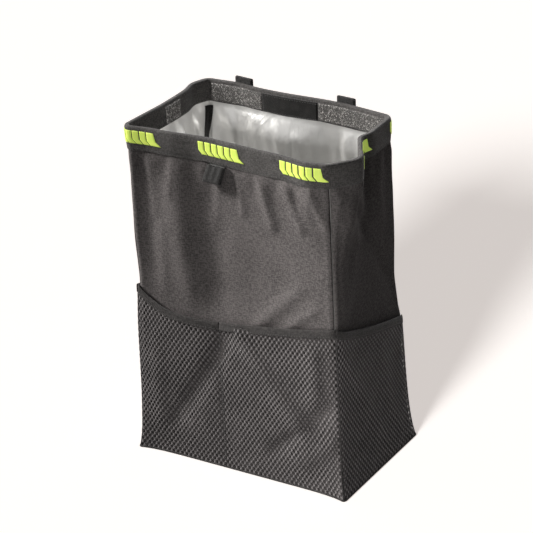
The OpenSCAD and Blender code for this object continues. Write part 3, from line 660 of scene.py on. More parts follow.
def add_camera():
    back = np.array([math.sin(AZ) * math.cos(EL), -math.cos(AZ) * math.cos(EL), math.sin(EL)])
    level = np.array([math.cos(AZ), math.sin(AZ), 0.0])
    rise = np.cross(back, level)
    right = math.cos(ROLL) * level + math.sin(ROLL) * rise
    up = math.cos(ROLL) * rise - math.sin(ROLL) * level
    place = back * REACH + [0, 0, TARGET_Z]
    data = bpy.data.cameras.new("camera")
    data.sensor_width = SENSOR
    data.lens = FOCAL / PHOTO * SENSOR
    data.shift_x, data.shift_y = SHIFT_X / PHOTO, SHIFT_Y / PHOTO
    data.clip_start, data.clip_end = 0.05, 40.0
    cam = bpy.data.objects.new("camera", data)
    bpy.context.scene.collection.objects.link(cam)
    cam.matrix_world = Matrix([[right[i], up[i], back[i], place[i]] for i in range(3)] + [[0, 0, 0, 1]])
    bpy.context.scene.camera = cam


add_camera()


# Wall panels

def wall_detail(k, u, z):
    """Small folds and unevenness of the outside of a wall, in millimetres outwards."""
    run = u * WIDTH[k]
    ends = np.minimum(run, WIDTH[k] - run)
    seam = -1.3 * hump(ends, 0, 2.0) + 0.5 * hump(ends, 4.5, 2.2)
    out = 0.45 * ripple(run / 21, z / 26, 11 + k) + 0.22 * ripple(run / 8, z / 15, 31 + k)
    # Short puckers below the stitched edge of the band
    out = out + 0.85 * hump(z, BAND_Z - 9, 14) * np.sin(run / 3.9 + 2.2 * ripple(run / 30, 0 * z, 5 + k, 1))
    out = out + ridges(run, z, WALL_RIDGES[k])
    return seam * ease(z / 8) + out * ease((BAND_Z + 4 - z) / 14) * ease(z / 12)


def panel(k):
    """One wall of the bag, about 2 mm from point to point."""
    gap = 0.35 / WIDTH[k]
    u = np.linspace(gap, 1 - gap, int(WIDTH[k] / 2.0) + 1)
    z = np.concatenate([np.linspace(0.15, 320, 164), np.linspace(323, WALL_TOP, 8)])
    across, up = np.meshgrid(u, z, indexing="ij")
    points = wall(k, across, up, -wall_detail(k, across, up))
    o = grid_piece(SIDES[k] + "_cloth", points, u * WIDTH[k], z)
    thicken(o, 1.0)
    finish_piece(o, WALL, SIDES[k] + "_panel")


for k in range(4):
    panel(k)


# Rim band

# Section of the folded tape, as depth and height over its lower edge: up the outside, over the
# rim and down the inside, which ends at IN_LOW
IN_LOW = BAND_H - BAND_IN_H
BAND_SECTION = [0, BAND_Z] + np.array(
    [
        [-0.20, 0.3], [-0.45, 0.05], [-0.7, 0.4], [-0.85, 1.5], [-0.72, 2.5], [-0.95, 3.5], [-1.2, 8],
        [-1.35, 14], [-1.35, 20], [-1.15, 23.2], [-0.5, 24.5], [0.5, 25.0], [1.5, 24.75], [2.6, 24.9],
        [3.6, 24.5], [4.15, 23.5], [BAND_FACE_D, 21], [BAND_FACE_D, 12], [BAND_FACE_D, IN_LOW + 3.4],
        [4.05, IN_LOW + 2.5], [BAND_FACE_D, IN_LOW + 1.6], [4.1, IN_LOW + 0.3], [3.3, IN_LOW],
        [3.2, IN_LOW + 1.5], [3.0, 22.8], [0.0, 23.6], [-0.2, 22],
    ]
)
# Points of the section with the outer stitches, the inner stitches and the tape's middle
STITCH_OUT, STITCH_IN, BAND_MIDDLE = 4, 19, 7


def rim_counts(step):
    return [int(round(w / step)) for w in RIM_WIDTH]


def add_band():
    """The tape round the rim, with an uneven lower edge, and its two rows of stitches."""
    places = round_places(rim_counts(1.1))
    run = run_round(ring(places, [RIM_Z], [BAND_OUT_D])[:, 0])[:-1]
    wave = ripple(run / 9, 0 * run, 3, 2)[:, None]
    slow = ripple(run / 31, 0 * run, 8, 2)[:, None]
    d, z = BAND_SECTION.T
    sway = np.where(z < BAND_Z + 6, 1.0, 0.25) * (d < -0.25)
    points = ring(places, z + 0.55 * wave * (z < BAND_Z + 5), d - (0.35 * wave + 0.3 * slow) * sway)
    faces, ci, cj = grid_faces(*points.shape[:2], True, True)
    across = run_along(BAND_SECTION)
    across = np.append(across, across[-1] + 1.7)
    run = run_round(points[:, BAND_MIDDLE])
    band = add_mesh("rim_band_cloth", points, faces, np.stack([run[ci], across[cj]], -1) * MM)
    finish_piece(band, RIM, "rim_band")
    low, inner = points[:, STITCH_OUT], points[:, STITCH_IN]
    outward = np.cross(unit(np.roll(low, -1, 0) - np.roll(low, 1, 0)), UPWARDS)
    stitches("rim_stitches", [(low, outward), (inner, -outward)], 3.1, 2.3, 0.34)


add_band()


# Bright marks

MARK_GROUPS, MARKS_IN_GROUP = 8, 6
GROUP_PITCH, MARK_PITCH, FIRST_MARK = 93.0, 7.5, -12.0
MARK_W, MARK_H, MARK_TOP, LAST_WIDER = 5.95, 13.0, BAG_H - 4.0, 1.2
# Depths of the face and the back of a mark, and how far its edge is rolled in
MARK_FACE_D, MARK_BACK_D, MARK_EDGE = -1.85, -1.45, 0.14
# Step in metres between the places of two marks in the texture
MARK_UV_STEP = 0.0126


def rim_place(p):
    """Side and share at the running length p round the rim from the front left corner."""
    p = p % sum(RIM_WIDTH)
    k = 0
    while p > RIM_WIDTH[k]:
        p -= RIM_WIDTH[k]
        k += 1
    return k, p / RIM_WIDTH[k]


def mark_points(p, last, d, seed):
    """Points of one slanted mark that starts at p; the last of a group is wider and spreads to its foot."""
    jit = np.random.default_rng(seed).uniform(-0.15, 0.15, 4)
    v = np.array([0, 0.06, 0.2, 0.34, 0.5, 0.7, 0.9, 0.96, 1.0])
    t = np.array([0, 0.06, 0.3, 0.5, 0.7, 0.94, 1.0])
    lean = MARK_H * np.where(v < 0.34, (0.34 - v) / 0.34, 0)
    left = 0.28 * lean + jit[0]
    right = MARK_W + 0.28 * lean + jit[1]
    if last:
        right = MARK_W + LAST_WIDER + 0.42 * lean + 0.14 * MARK_H * np.clip((1 - v) / 0.66, 0, 1) + jit[1]
    points = np.zeros((len(t), len(v), 3))
    for a, tt in enumerate(t):
        for b, vv in enumerate(v):
            k, u = rim_place(p + left[b] + (right[b] - left[b]) * tt)
            edge = min(tt, 1 - tt, vv, 1 - vv) < 0.01
            points[a, b] = wall(k, u, MARK_TOP - MARK_H + MARK_H * vv, d + (MARK_EDGE if edge else 0.0))
    return points


def add_marks():
    parts = []
    for i in range(MARK_GROUPS * MARKS_IN_GROUP):
        group, place = divmod(i, MARKS_IN_GROUP)
        p = FIRST_MARK + group * GROUP_PITCH + place * MARK_PITCH
        last = place == MARKS_IN_GROUP - 1
        face, back = (mark_points(p, last, d, 100 + i) for d in (MARK_FACE_D, MARK_BACK_D))
        faces, ci, cj = grid_faces(*face.shape[:2])
        edges = [[b, a, d, c] for a, b, c, d in edge_faces(*face.shape[:2])]
        uv = np.stack([ci, 1.5 * cj], -1) * MM + i * MARK_UV_STEP
        edge_uv = np.tile([[0, 0], [MM, 0], [MM, MM], [0, MM]], (len(edges), 1))
        parts.append(([face, back], faces.tolist() + edges, np.concatenate([uv.reshape(-1, 2), edge_uv])))
    marks = add_mesh("rim_mark_film", *join(parts))
    finish_piece(marks, MARKS, "rim_marks")


add_marks()


# Foil liner

def liner_out(k, u, z):
    """How far the foil hangs in from the wall, in millimetres."""
    run = u * WIDTH[k]
    ends = ease(np.minimum(run, WIDTH[k] - run) / 14)
    below = np.clip(BAND_Z - z, 0, None)
    loose = (1 - (1 - np.clip((BAND_Z + 1 - z) / 23, 0, 1)) ** 1.6) * ease(z / 30)
    lean = run + 0.16 * below
    # A slack belly under the band, and pleats that hang from the gathered edge
    belly = 2.2 * (1 - 0.9 * ease((below - 16) / 50)) + 0.4 * ripple(lean / 34, z / 200, 75 + k, 1)
    warp = lean + 5 * ripple(lean / 40, z / 110, 81 + k, 1)
    if k == 2:
        x = 105 - lean
        steps = sum(height * ease((x - start) / width) for height, start, width in FOIL_STEPS)
        pleats = 1.7 + 1.2 * steps + 0.3 * np.sin(warp * TURN / 15.5)
    else:
        pleats = 1.9 * np.sin(warp * TURN / 29 + k) + 1.0 * np.sin(warp * TURN / 16.5 + 2.2 + k) + 2.0
    fall = 0.35 + 0.65 * hump(below, 0, 80)
    soft = 0.6 * ripple(run / 9, z / 60, 61 + k, 2)
    depth = LINER_D + (1.2 + belly + pleats * fall + soft) * loose * ends * (1 - 0.9 * ease(1 - z / 60))
    return np.maximum(depth, LINER_D)


def add_liner():
    """The foil bag: its sides, and a floor of rings that shrink towards the middle."""
    low, high = np.linspace(FLOOR_Z + 1.6, 322, 150), np.linspace(324, WALL_TOP - 1, 8)
    z = np.concatenate([[FLOOR_Z + 0.4], low, high])
    places = round_places([int(w / 1.9) for w in WIDTH])
    sides = ring(places, z, lambda k, u, heights: liner_out(k, u, heights) + 0.2)
    run = run_round(sides[:, 80])
    nl, nz = sides.shape[:2]
    faces, ci, cj = grid_faces(nl, nz, round_u=True)
    uvs = np.stack([run[ci], z[cj]], -1).reshape(-1, 2) * MM
    foot = sides[:, 0]
    centre = foot.mean(0)
    rings = []
    for f in np.linspace(0.94, 0.0, 15)[:-1]:
        r = centre + (foot - centre) * f
        r[:, 2] = FLOOR_Z + 0.35 + 0.35 * np.abs(ripple(r[:, 0] / 16, r[:, 1] / 19, 91, 2)) * (1 - f**6)
        rings.append(r)
    points = np.concatenate([sides.reshape(-1, 3), *rings, centre[None]])
    rows = [np.arange(nl) * nz] + [nl * nz + a * nl + np.arange(nl) for a in range(len(rings))]
    floor_faces = []
    for outer, inner in zip(rows, rows[1:]):
        floor_faces += np.stack([outer, inner, np.roll(inner, -1), np.roll(outer, -1)], 1).tolist()
    tip = np.full(nl, len(points) - 1)
    floor_faces += np.stack([rows[-1], tip, np.roll(rows[-1], -1)], 1).tolist()
    floor_uvs = points[np.concatenate(floor_faces)][:, :2] * MM
    all_faces = faces[:, ::-1].tolist() + floor_faces
    o = add_mesh("foil_liner_film", points, all_faces, np.concatenate([uvs, floor_uvs]))
    thicken(o, 0.3, 1.0)
    finish_piece(o, FOIL, "liner")
    return o


liner = add_liner()


# Tape over the inner corner seams

TAPE_ACROSS = (-4.5, -3.6, -2.2, -0.9, 0.0, 0.9, 2.2, 3.6, 4.5)


def seam_tape(q, name, node, drift=0.0):
    """Tape down the corner q, which may wander off the corner by the drift on its way down."""
    before = (q + 3) % 4
    z = np.linspace(FLOOR_Z + 6, BAND_Z - 2, 110)
    away = drift * ease((BAND_Z - z) / 55)
    columns = []
    for off in TAPE_ACROSS:
        at = off + away
        lift = (0.95 if abs(off) > 4 else 1.25) + 0.12 * ripple(z / 9, 0 * z + off, 13, 1)
        low, high = 1 + np.minimum(at, 0) / WIDTH[before], np.maximum(at, 0) / WIDTH[q]
        one = wall(before, low, z, liner_out(before, low, z) + lift)
        two = wall(q, high, z, liner_out(q, high, z) + lift)
        columns.append(np.where(at[:, None] < 0, one, two))
    o = grid_piece(name, np.array(columns), np.linspace(0, 9, len(TAPE_ACROSS)), z, flip=True)
    thicken(o, 0.3, 1.0)
    finish_piece(o, SEAM_TAPE, node)


for q, corner_name in enumerate(("front_left", "front_right", "back_right", "back_left")):
    seam_tape(q, f"seam_tape_{corner_name}", f"liner_tape_{corner_name}", 9.0 if q == 3 else 0.0)


# Pocket nets

def hem_top(k, s):
    """Height of the top edge of a pocket."""
    if k == 0:
        drop = POCKET_H - DIVIDER_H
        left = POCKET_H - drop * (1 - np.clip(1 - s / DIVIDER_AT, 0, 1) ** 3.5)
        return np.where(s < DIVIDER_AT, left, DIVIDER_H + drop * (s - DIVIDER_AT) / (1 - DIVIDER_AT))
    q = s if k == 1 else 1 - s
    return POCKET_H - (POCKET_H - POCKET_BACK_H) * np.clip(q, 0, 1) ** 0.85


def open_share(k, s):
    """How far a pocket gapes, from 0 at its seams to 1 between them."""
    s = np.clip(s, 0, 1)
    if k == 0:
        right = (s - DIVIDER_AT) / (1 - DIVIDER_AT)
        return np.where(s < DIVIDER_AT, np.sin(math.pi * s / DIVIDER_AT), np.sin(math.pi * right))
    return np.sin(math.pi * s)


def stand_off(k, s, z):
    """How far the inside of a pocket lies off the wall fabric."""
    v = np.clip(z / hem_top(k, s), 0, 1)
    gape = open_share(k, s)
    lift = 0.75 * hump(s, 0.8, 0.3) * ease(z / 45) if k == 3 else 0.0
    return 0.45 + (2.4 * gape + 0.8) * ease(v) + 0.9 * gape * ease(z / 30) + lift


def net_detail(k, s, z):
    """Soft unevenness of the stretched net, in millimetres outwards."""
    run = s * WIDTH[k]
    ends = ease(np.minimum(run, WIDTH[k] - run) / 10)
    out = 0.5 + 0.6 * ripple(run / 26, z / 22, 21 + k, 2)
    if k == 0:
        out = out * ease(np.abs(s - DIVIDER_AT) / 0.03)
    out = out + ridges(run, z, NET_RIDGES[k])
    return np.maximum(out, -1.9) * ends * ease(z / 14)


# Corners of a cell of the net and of the opening in it, in the order of the cell's sides
CELL = np.array([[0, 2 / 3], [-0.5, 1 / 3], [-0.5, -1 / 3], [0, -2 / 3], [0.5, -1 / 3], [0.5, 1 / 3]])
OPENING = np.array([[0, 0.72], [-0.57, 0.38], [-0.57, -0.38], [0, -0.72], [0.57, -0.38], [0.57, 0.38]])
# Lifts of the yarn's crest, the two edges of an opening and the yarn's back
CREST, EDGE_FRONT, EDGE_BACK, YARN_BACK = 0.62, 0.32, 0.0, -0.05
NET_FOOT = 0.4


def net_piece(k):
    """Netting of hexagonal cells, each a rounded strip of yarn round its own opening."""
    width = WIDTH[k]
    cols = np.arange(-1, int(width / NET_PITCH) + 3)
    rows = np.arange(-1, int(POCKET_H / NET_ROW) + 3)
    ci, ri = np.meshgrid(cols, rows, indexing="ij")
    middles = np.stack([(ci * NET_PITCH + (ri % 2) * NET_PITCH / 2).ravel(), (ri * NET_ROW).ravel()], 1)
    cells = middles[:, None] + CELL * [NET_PITCH, NET_ROW]
    x, z = cells[..., 0], cells[..., 1]
    below_hem = z < hem_top(k, np.clip(x / width, 0, 1)) - 3.0
    keep = ((x > 0) & (x < width) & (z > NET_FOOT) & below_hem).any(1)
    cells, middles = cells[keep], middles[keep]
    outline, index = np.unique(np.round(cells.reshape(-1, 2), 3), axis=0, return_inverse=True)
    index = index.reshape(-1, 6)
    # Each opening is rounder than its cell, and a little uneven
    share = 1 + np.random.default_rng(40 + k).uniform(-0.04, 0.04, (len(middles), 1, 1))
    openings = middles[:, None] + OPENING * share * [NET_PITCH / 2, NET_ROW * 2 / 3]

    def clamp(p):
        x = np.clip(p[:, 0], 0, width)
        return np.stack([x, np.clip(p[:, 1], NET_FOOT, hem_top(k, x / width) - 2.5)], 1)

    def put(p, lift):
        s, z = p[:, 0] / width, p[:, 1]
        return wall(k, s, z, -stand_off(k, s, z) - net_detail(k, s, z) - lift)

    a, h = clamp(outline), clamp(openings.reshape(-1, 2))
    points = np.concatenate([put(a, CREST), put(h, EDGE_FRONT), put(h, EDGE_BACK), put(a, YARN_BACK)])
    front = len(a) + np.arange(len(h)).reshape(-1, 6)
    back = front + len(h)
    levels = (index, front, back, index + len(a) + 2 * len(h))
    faces = []
    for e in range(6):
        f = (e + 1) % 6
        faces += [np.stack([p[:, e], p[:, f], q[:, f], q[:, e]], 1) for p, q in zip(levels, levels[1:])]
    faces = np.concatenate(faces)
    flat = np.concatenate([a, h, h, a]) * MM
    o = add_mesh(SIDES[k] + "_net", points, faces, flat[faces])
    finish_piece(o, NET, SIDES[k] + "_pocket_net")


for k in (0, 1, 3):
    net_piece(k)


# Hems of the pockets

# Section of the folded tape, as steps outwards and up from the top edge of the pocket
HEM_SECTION = np.array(
    [
        [1.55, -HEM_H + 0.4], [1.75, -HEM_H], [2.05, -HEM_H + 0.4], [2.1, -HEM_H + 1.2],
        [1.92, -HEM_H + 1.9], [2.12, -HEM_H + 2.6], [2.2, -5.0], [2.1, -2.2], [1.75, -0.6], [1.0, 0.0],
        [0.25, -0.5], [0.0, -1.6], [0.0, -5.0], [0.0, -HEM_H + 0.4], [0.25, -HEM_H], [0.5, -HEM_H + 0.4],
        [0.55, -4.0], [0.9, -1.4], [1.3, -1.4], [1.55, -4.0],
    ]
)
HEM_STITCHES = 4


def hem_sweep(k, s0, s1, lift, dz):
    """Points, faces and uvs of the hem tape from s0 to s1, raised outwards by lift and upwards by dz."""
    n, c = int((s1 - s0) * WIDTH[k] / 1.2), len(HEM_SECTION)
    s = np.linspace(s0, s1, n)
    top = hem_top(k, s) + dz
    run = s * WIDTH[k]
    wobble = 0.25 * ripple(run / 11, 0 * run, 17 + k, 2)
    off = stand_off(k, s, top) + net_detail(k, s, top) + lift
    points = np.zeros((n, c, 3))
    for j, (d, z) in enumerate(HEM_SECTION):
        rise = 0.5 * wobble if z < -HEM_H + 3 else 0
        out = off - 0.35 + d * 0.62 + (wobble * 0.6 if d > 1.4 else 0)
        points[:, j] = wall(k, s, top + z + rise, -out)
    faces, ci, cj = grid_faces(n, c, round_v=True)
    across = np.append(run_along(HEM_SECTION), 40)
    uv = np.stack([run[ci], across[cj]], -1).reshape(-1, 2)
    ends = [list(range(c)), [(n - 1) * c + j for j in range(c - 1, -1, -1)]]
    return points, faces.tolist() + ends, np.concatenate([uv, HEM_SECTION, HEM_SECTION]) * MM


def hem_piece(k, *spans):
    """The hem tape of one pocket, in one or more spans, with its stitches."""
    parts = [hem_sweep(k, *span) for span in spans]
    o = add_mesh(SIDES[k] + "_hem_cloth", *join(parts))
    finish_piece(o, HEM, SIDES[k] + "_pocket_hem")
    lines = [points[:, HEM_STITCHES] for points, _, _ in parts]
    rows = [(line, np.cross(unit(np.gradient(line, axis=0)), UPWARDS)) for line in lines]
    stitches(SIDES[k] + "_hem_stitches", rows, 2.9, 2.1, 0.26)


hem_piece(0, (0.002, DIVIDER_AT - 0.002, 0.0, 0.0), (DIVIDER_AT + 0.002, 0.998, 0.25, 0.6))
hem_piece(1, (0.003, 0.997, 0.0, 0.0))
hem_piece(3, (0.003, 0.997, 0.0, 0.0))


def add_divider():
    """Stitches of the seam that divides the front pocket."""
    z = np.linspace(4, float(hem_top(0, np.array(DIVIDER_AT))) - 1, 160)
    line = wall(0, np.full_like(z, DIVIDER_AT), z, -(stand_off(0, DIVIDER_AT, z) + CREST))
    outward = np.tile([0, -1.0, 0], (len(z), 1))
    stitches("divider_stitches", [(line, outward)], 3.0, 2.3, 0.34)


def add_bound_edges():
    """Thin bound edges: round the base and down the corners beside the nets."""
    base = ring(round_places(rim_counts(2.0)), [1.25], [-0.55])[:, 0]
    parts = [tube(np.concatenate([base, base[:1]]), 1.15)]
    for q in range(4):
        z = np.linspace(2, POCKET_H - 6 if q in (0, 1) else POCKET_BACK_H - 4, 90)
        parts.append(tube(wall(q, np.zeros_like(z), z, -0.25 + 0.15 * ripple(z / 11, 0 * z, q, 1)), 0.85))
    o = add_mesh("bound_edges", *join(parts))
    o.data.uv_layers.new(name="UVMap")
    finish_piece(o, HEM)


add_divider()
add_bound_edges()


# Hook and loop strips inside the rim

STRIP_TOP = BAG_H - BAND_T - 2.0
STRIP_LOW = STRIP_TOP - STRIP_H
STRIP_T = 1.35
STITCH_IN_FROM_EDGE = 1.4
# Material of each kind of strip, and the unevenness of its pile
PILES = {"hook": (HOOK, 0.55), "loop": (LOOP, 0.12)}
# Strips of the back: kind, place, and both ends in millimetres from the left end of the row
BACK_STRIPS = (("hook", "back_left", 0, 60), ("loop", "back", 60.5, 122.5), ("hook", "back_right", 123, 201))


def strip_piece(kind, place, k, u0, u1):
    """A strip from u0 to u1 with an uneven pile, and the two rows that its stitches follow."""
    name, (mat, pile) = f"{kind}_{place}", PILES[kind]
    nu, nv = int(abs(u1 - u0) * WIDTH[k] / 0.8), 26
    u, z = np.linspace(u0, u1, nu), np.linspace(STRIP_LOW, STRIP_TOP, nv)
    across, up = np.meshgrid(u, z, indexing="ij")
    to_ends = np.minimum(across - u0, u1 - across) * WIDTH[k]
    edge = np.minimum(to_ends, np.minimum(up - STRIP_LOW, STRIP_TOP - up))
    rough = np.random.default_rng(len(name)).uniform(0, 1, across.shape) * pile
    d = HOOK_D + STRIP_T * ease(edge / 1.3 + 0.25) + rough * ease(edge - 1.5)
    points = [wall(k, across, up, d), wall(k, across, up, HOOK_D - 0.1)]
    faces, ci, cj = grid_faces(nu, nv)
    uv = np.stack([(u * WIDTH[k])[ci], z[cj]], -1) * MM
    side = edge_faces(nu, nv)
    uvs = [uv[:, ::-1].reshape(-1, 2), np.zeros((4 * len(side), 2)), uv.reshape(-1, 2)]
    all_faces = faces[:, ::-1].tolist() + side + (faces + nu * nv).tolist()
    o = add_mesh(name, points, all_faces, np.concatenate(uvs))
    finish_piece(o, mat, f"{kind}_strip_{place}")
    inward = np.tile(np.append(-OUT[k], 0), (nu, 1))
    heights = (STRIP_LOW + STITCH_IN_FROM_EDGE, STRIP_TOP - STITCH_IN_FROM_EDGE)
    return [(wall(k, u, height, HOOK_D + 1.45), inward) for height in heights]


def back_share(x):
    """Share along the back for a place along X."""
    u = np.linspace(0, 1, 400)
    return float(np.interp(-x, -wall(2, u, 345.0, HOOK_D)[:, 0], u))


def add_strips():
    """Three strips along the back, from its left end, and a short one on each side."""
    start = float(wall(2, 1.0, 345.0, HOOK_D)[0]) + 2.5
    rows = []
    for kind, place, x0, x1 in BACK_STRIPS:
        rows += strip_piece(kind, place, 2, back_share(start + x1), back_share(start + x0))
    half = 13.0 / WIDTH[3]
    for place, k, at in (("left", 3, 0.47), ("right", 1, 0.80)):
        rows += strip_piece("hook", place, k, at - half, at + half)
    stitches("strip_stitches", rows, 2.8, 2.0, 0.3)


add_strips()


# Webbing

STRAP_T = 1.2


def strap(name, node, centres, across_dir, width):
    """Flat webbing along one or more centre lines, as wide as given across them."""
    a = unit(np.asarray(across_dir, float))
    w = np.linspace(-0.5, 0.5, 15)
    edge = 0.35 + 0.65 * np.clip((0.5 - np.abs(w)) / 0.06, 0, 1) ** 0.5
    wide = np.concatenate([(w + 0.5) * width, (w[::-1] + 0.5) * width, [0]])
    parts, length = [], 0.0
    for centre in centres:
        n = unit(np.cross(unit(np.gradient(centre, axis=0)), a))
        mid = centre[:, None] + a * (w * width)[None, :, None]
        half = n[:, None] * (STRAP_T / 2 * edge)[None, :, None]
        loop = np.concatenate([mid + half, (mid - half)[:, ::-1]], axis=1)
        m, c = loop.shape[:2]
        faces, ci, cj = grid_faces(m, c, round_v=True)
        run = length + run_along(centre)
        ends = [list(range(c - 1, -1, -1)), [(m - 1) * c + j for j in range(c)]]
        uv = (np.stack([wide[cj], run[ci]], -1) * MM).reshape(-1, 2)
        parts.append((loop, faces.tolist() + ends, np.concatenate([uv, np.zeros((2 * c, 2))])))
        length = run[-1]
    o = add_mesh(name, *join(parts))
    finish_piece(o, WEBBING, node)


# The front tab is sewn on askew, and stands off the wall as it drops
TAB_X, TAB_U, TAB_W, TAB_DROP, TUCK_DROP = -17.0, 0.455, 19.0, 16.0, 15.0
TAB_SLANT, TAB_TILT = math.tan(math.radians(16)), math.tan(math.radians(2.5))
TAB_FOLD_R = 2.2


def add_front_tab():
    """A flattened loop with a tucked inner layer, whose open side is to the right."""
    wall_y = wall(0, TAB_U, BAND_Z, 0.0)[1]
    step, turn = np.linspace(0, 1, 20), np.linspace(0, math.pi, 16)[1:-1]
    top = 0.2
    down = np.stack([1.0 + 0.7 * ease(step), np.linspace(top, TAB_DROP, 20)], 1)
    fold = np.stack([3.9 - TAB_FOLD_R * np.cos(turn), TAB_DROP + TAB_FOLD_R * np.sin(turn)], 1)
    back_up = np.stack([3.4 + 2.7 * ease(step[::-1]), np.linspace(TAB_DROP, top, 20)], 1)
    tuck = np.stack([2.3 + 1.6 * ease(step), np.linspace(top, TUCK_DROP, 20)], 1)
    centres = []
    for path in (np.concatenate([down, fold, back_up]), tuck):
        out, drop = path.T
        centres.append(np.stack([TAB_X - TAB_SLANT * drop, wall_y - out, BAND_Z + 0.2 - drop], 1))
    strap("front_tab_strap", "front_tab", centres, [1, 0, -TAB_TILT], TAB_W)


LOOP_W, LOOP_LENGTH, LOOP_GAP, LOOP_FOOT = 20.0, 23, 1.2, 18.0
LOOP_OFF = 0.35 + 0.5 + 1.8


def loop_line(length, gap, thick, n=26):
    """Centre line of a folded strap in its own plane: down one leg, round the fold and up the other."""
    r = (gap + thick) / 2
    leg = length - r - thick / 2
    a = np.linspace(0, math.pi, n)
    down = np.stack([np.full(n, r), np.linspace(0, -leg, n)], 1)
    turn = np.stack([r * np.cos(a), -leg - r * np.sin(a)], 1)
    rise = np.stack([np.full(n, -r), np.linspace(-leg, 0, n)], 1)
    return np.concatenate([down, turn[1:-1], rise])


def add_rear_loop(side, x):
    """A folded loop behind the rim at x, which stands with its fold up."""
    u = back_share(x)
    p, q = (wall(2, at, 350.0, BAND_OUT_D) for at in (u, u + 0.02))
    along = unit(np.append((q - p)[:2], 0))
    off = np.cross(along, UPWARDS)
    line = loop_line(LOOP_LENGTH, LOOP_GAP, STRAP_T)
    heights = -line[:, 1:] - 350.0 + BAG_H - LOOP_FOOT
    centre = p + off * (LOOP_OFF + line[:, :1]) + np.array(UPWARDS) * heights
    strap(f"rear_loop_{side}", f"strap_loop_{side}", [centre], along, LOOP_W)


add_front_tab()
add_rear_loop("left", -68.0)
add_rear_loop("right", 44.0)


# CAD solids that stay: better materials

for node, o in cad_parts.items():
    if node.startswith("stiffener") or node in ("base_panel", "base_board"):
        dress(o, BASE_CLOTH if node == "base_panel" else BOARD)
        if not o.data.uv_layers:
            o.data.uv_layers.new(name="UVMap")


# Floor, backdrop and light

def seen_by_eye(tree):
    """1 for rays that show a surface, also in gloss or glass, and 0 for light thrown on the object."""
    path = tree.nodes.new("ShaderNodeLightPath")
    value = path.outputs["Is Camera Ray"]
    for other in ("Is Glossy Ray", "Is Transmission Ray"):
        most = tree.nodes.new("ShaderNodeMath")
        most.operation = "MAXIMUM"
        tree.links.new(value, most.inputs[0])
        tree.links.new(path.outputs[other], most.inputs[1])
        value = most.outputs[0]
    return value


def stage_material():
    """Pale floor: white where it is seen, and dull where it throws light back on the object."""
    m = Mat("stage_white", (0.2, 0.2, 0.2), 0.9, gloss=0.0, Emission_Color=(0.60, 0.555, 0.53, 1))
    seen = seen_by_eye(m.nt)
    tone = m.mix(m.noise(m.place(), 3.0, 2.0), (0.86, 0.855, 0.85), (0.88, 0.875, 0.87))
    m.color(seen, (0.16, 0.16, 0.16), tone)
    m.nt.links.new(seen, m.bsdf.inputs["Emission Strength"])
    return m.m


FLOOR_RADII, FLOOR_DROP, FLOOR_SPOKES = (300.0, 1200.0, 6000.0, 16000.0), -0.3, 64


def add_floor():
    """A wide round floor just below the object."""
    n = FLOOR_SPOKES
    ang = np.arange(n) * TURN / n
    discs = [np.stack([r * np.cos(ang), r * np.sin(ang), np.full(n, FLOOR_DROP)], 1) for r in FLOOR_RADII]
    faces = [[0, 1 + i, 1 + (i + 1) % n] for i in range(n)]
    for a in range(1, 1 + n * (len(FLOOR_RADII) - 1), n):
        faces += [[a + i, a + n + i, a + n + (i + 1) % n, a + (i + 1) % n] for i in range(n)]
    o = add_mesh("floor", np.concatenate([[[0, 0, FLOOR_DROP]], *discs]), faces)
    o.data.materials.append(stage_material())
    return o


def add_world():
    """A faint even light on the object, and white wherever the world itself is seen."""
    world = bpy.data.worlds.new("studio")
    bpy.context.scene.world = world
    world.use_nodes = True
    tree = world.node_tree
    tree.nodes.clear()
    mix = tree.nodes.new("ShaderNodeMixShader")
    tree.links.new(seen_by_eye(tree), mix.inputs[0])
    for place, color, strength in ((1, (1.0, 0.985, 0.97, 1), 0.06), (2, (1.0, 1.0, 1.0, 1), 1.0)):
        light = tree.nodes.new("ShaderNodeBackground")
        light.inputs["Color"].default_value = color
        light.inputs["Strength"].default_value = strength
        tree.links.new(light.outputs[0], mix.inputs[place])
    tree.links.new(mix.outputs[0], tree.nodes.new("ShaderNodeOutputWorld").inputs[0])


def linked(name, pieces, state):
    """A collection of pieces for a lamp's links, each included or excluded."""
    group = bpy.data.collections.new(name)
    for piece in pieces:
        group.objects.link(piece)
    for entry in group.collection_objects:
        entry.light_linking.link_state = state
    return group


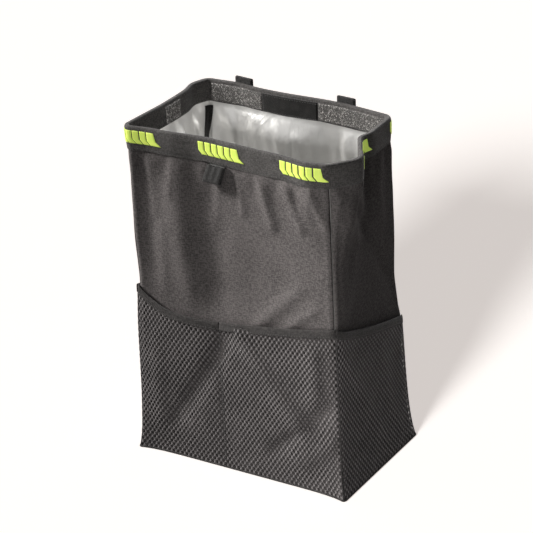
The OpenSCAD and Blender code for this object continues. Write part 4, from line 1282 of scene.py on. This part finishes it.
def place_lamp(data, location, to, only=(), but=(), blocked_by=()):
    """Puts up a lamp that shines from the way given, for some pieces only or for all but some."""
    o = bpy.data.objects.new(data.name, data)
    bpy.context.scene.collection.objects.link(o)
    o.location = location
    o.rotation_mode = "QUATERNION"
    o.rotation_quaternion = to.to_track_quat("Z", "Y")
    if only or but:
        state = "INCLUDE" if only else "EXCLUDE"
        o.light_linking.receiver_collection = linked(data.name + "_lights", only or but, state)
    if blocked_by:
        o.light_linking.blocker_collection = linked(data.name + "_blockers", blocked_by, "INCLUDE")
    return o


WARM, COOL = (1.0, 0.98, 0.955), (0.97, 0.98, 1.0)


def sun(name, azimuth, elevation, strength, angle, color=WARM, **links):
    """A lamp far off, at the compass angle and height that it shines from."""
    data = bpy.data.lights.new(name, "SUN")
    data.energy, data.angle, data.color = strength, math.radians(angle), color
    a, e = math.radians(azimuth), math.radians(elevation)
    to = Vector((math.sin(a) * math.cos(e), -math.cos(a) * math.cos(e), math.sin(e)))
    place_lamp(data, to * 3, to, **links)


def near_light(**links):
    """A tall narrow lamp close to the right end of the front."""
    data = bpy.data.lights.new("near_light", "AREA")
    data.shape, data.size, data.size_y = "RECTANGLE", 0.08, 0.34
    data.energy, data.color = 0.22, WARM
    place_lamp(data, (0.118, -0.2, 0.17), Vector((0.0, -1.0, 0.0)), **links).visible_camera = False


floor = add_floor()
add_world()
hooks = [bpy.data.objects[name] for name in ("hook_back_left", "hook_back_right", "hook_left", "hook_right")]
sun("front_light", 8, 32, 0.25, 14, but=[floor])
sun("floor_light", 4, 27, 3.4, 12, only=[floor])
sun("foil_light", -80, 27, 7.8, 12, only=[liner], blocked_by=[floor])
sun("foil_back_light", 84, 25, 2.0, 12, only=[liner], blocked_by=[floor])
sun("strip_light", 30, 44, 2.6, 10, only=hooks)
sun("side_light", -76, 29, 6.2, 12, but=[floor, liner])
sun("back_light", 188, 35, 1.6, 20, COOL, but=[floor])
near_light(but=[floor])
bpy.context.scene.view_settings.view_transform = "Standard"
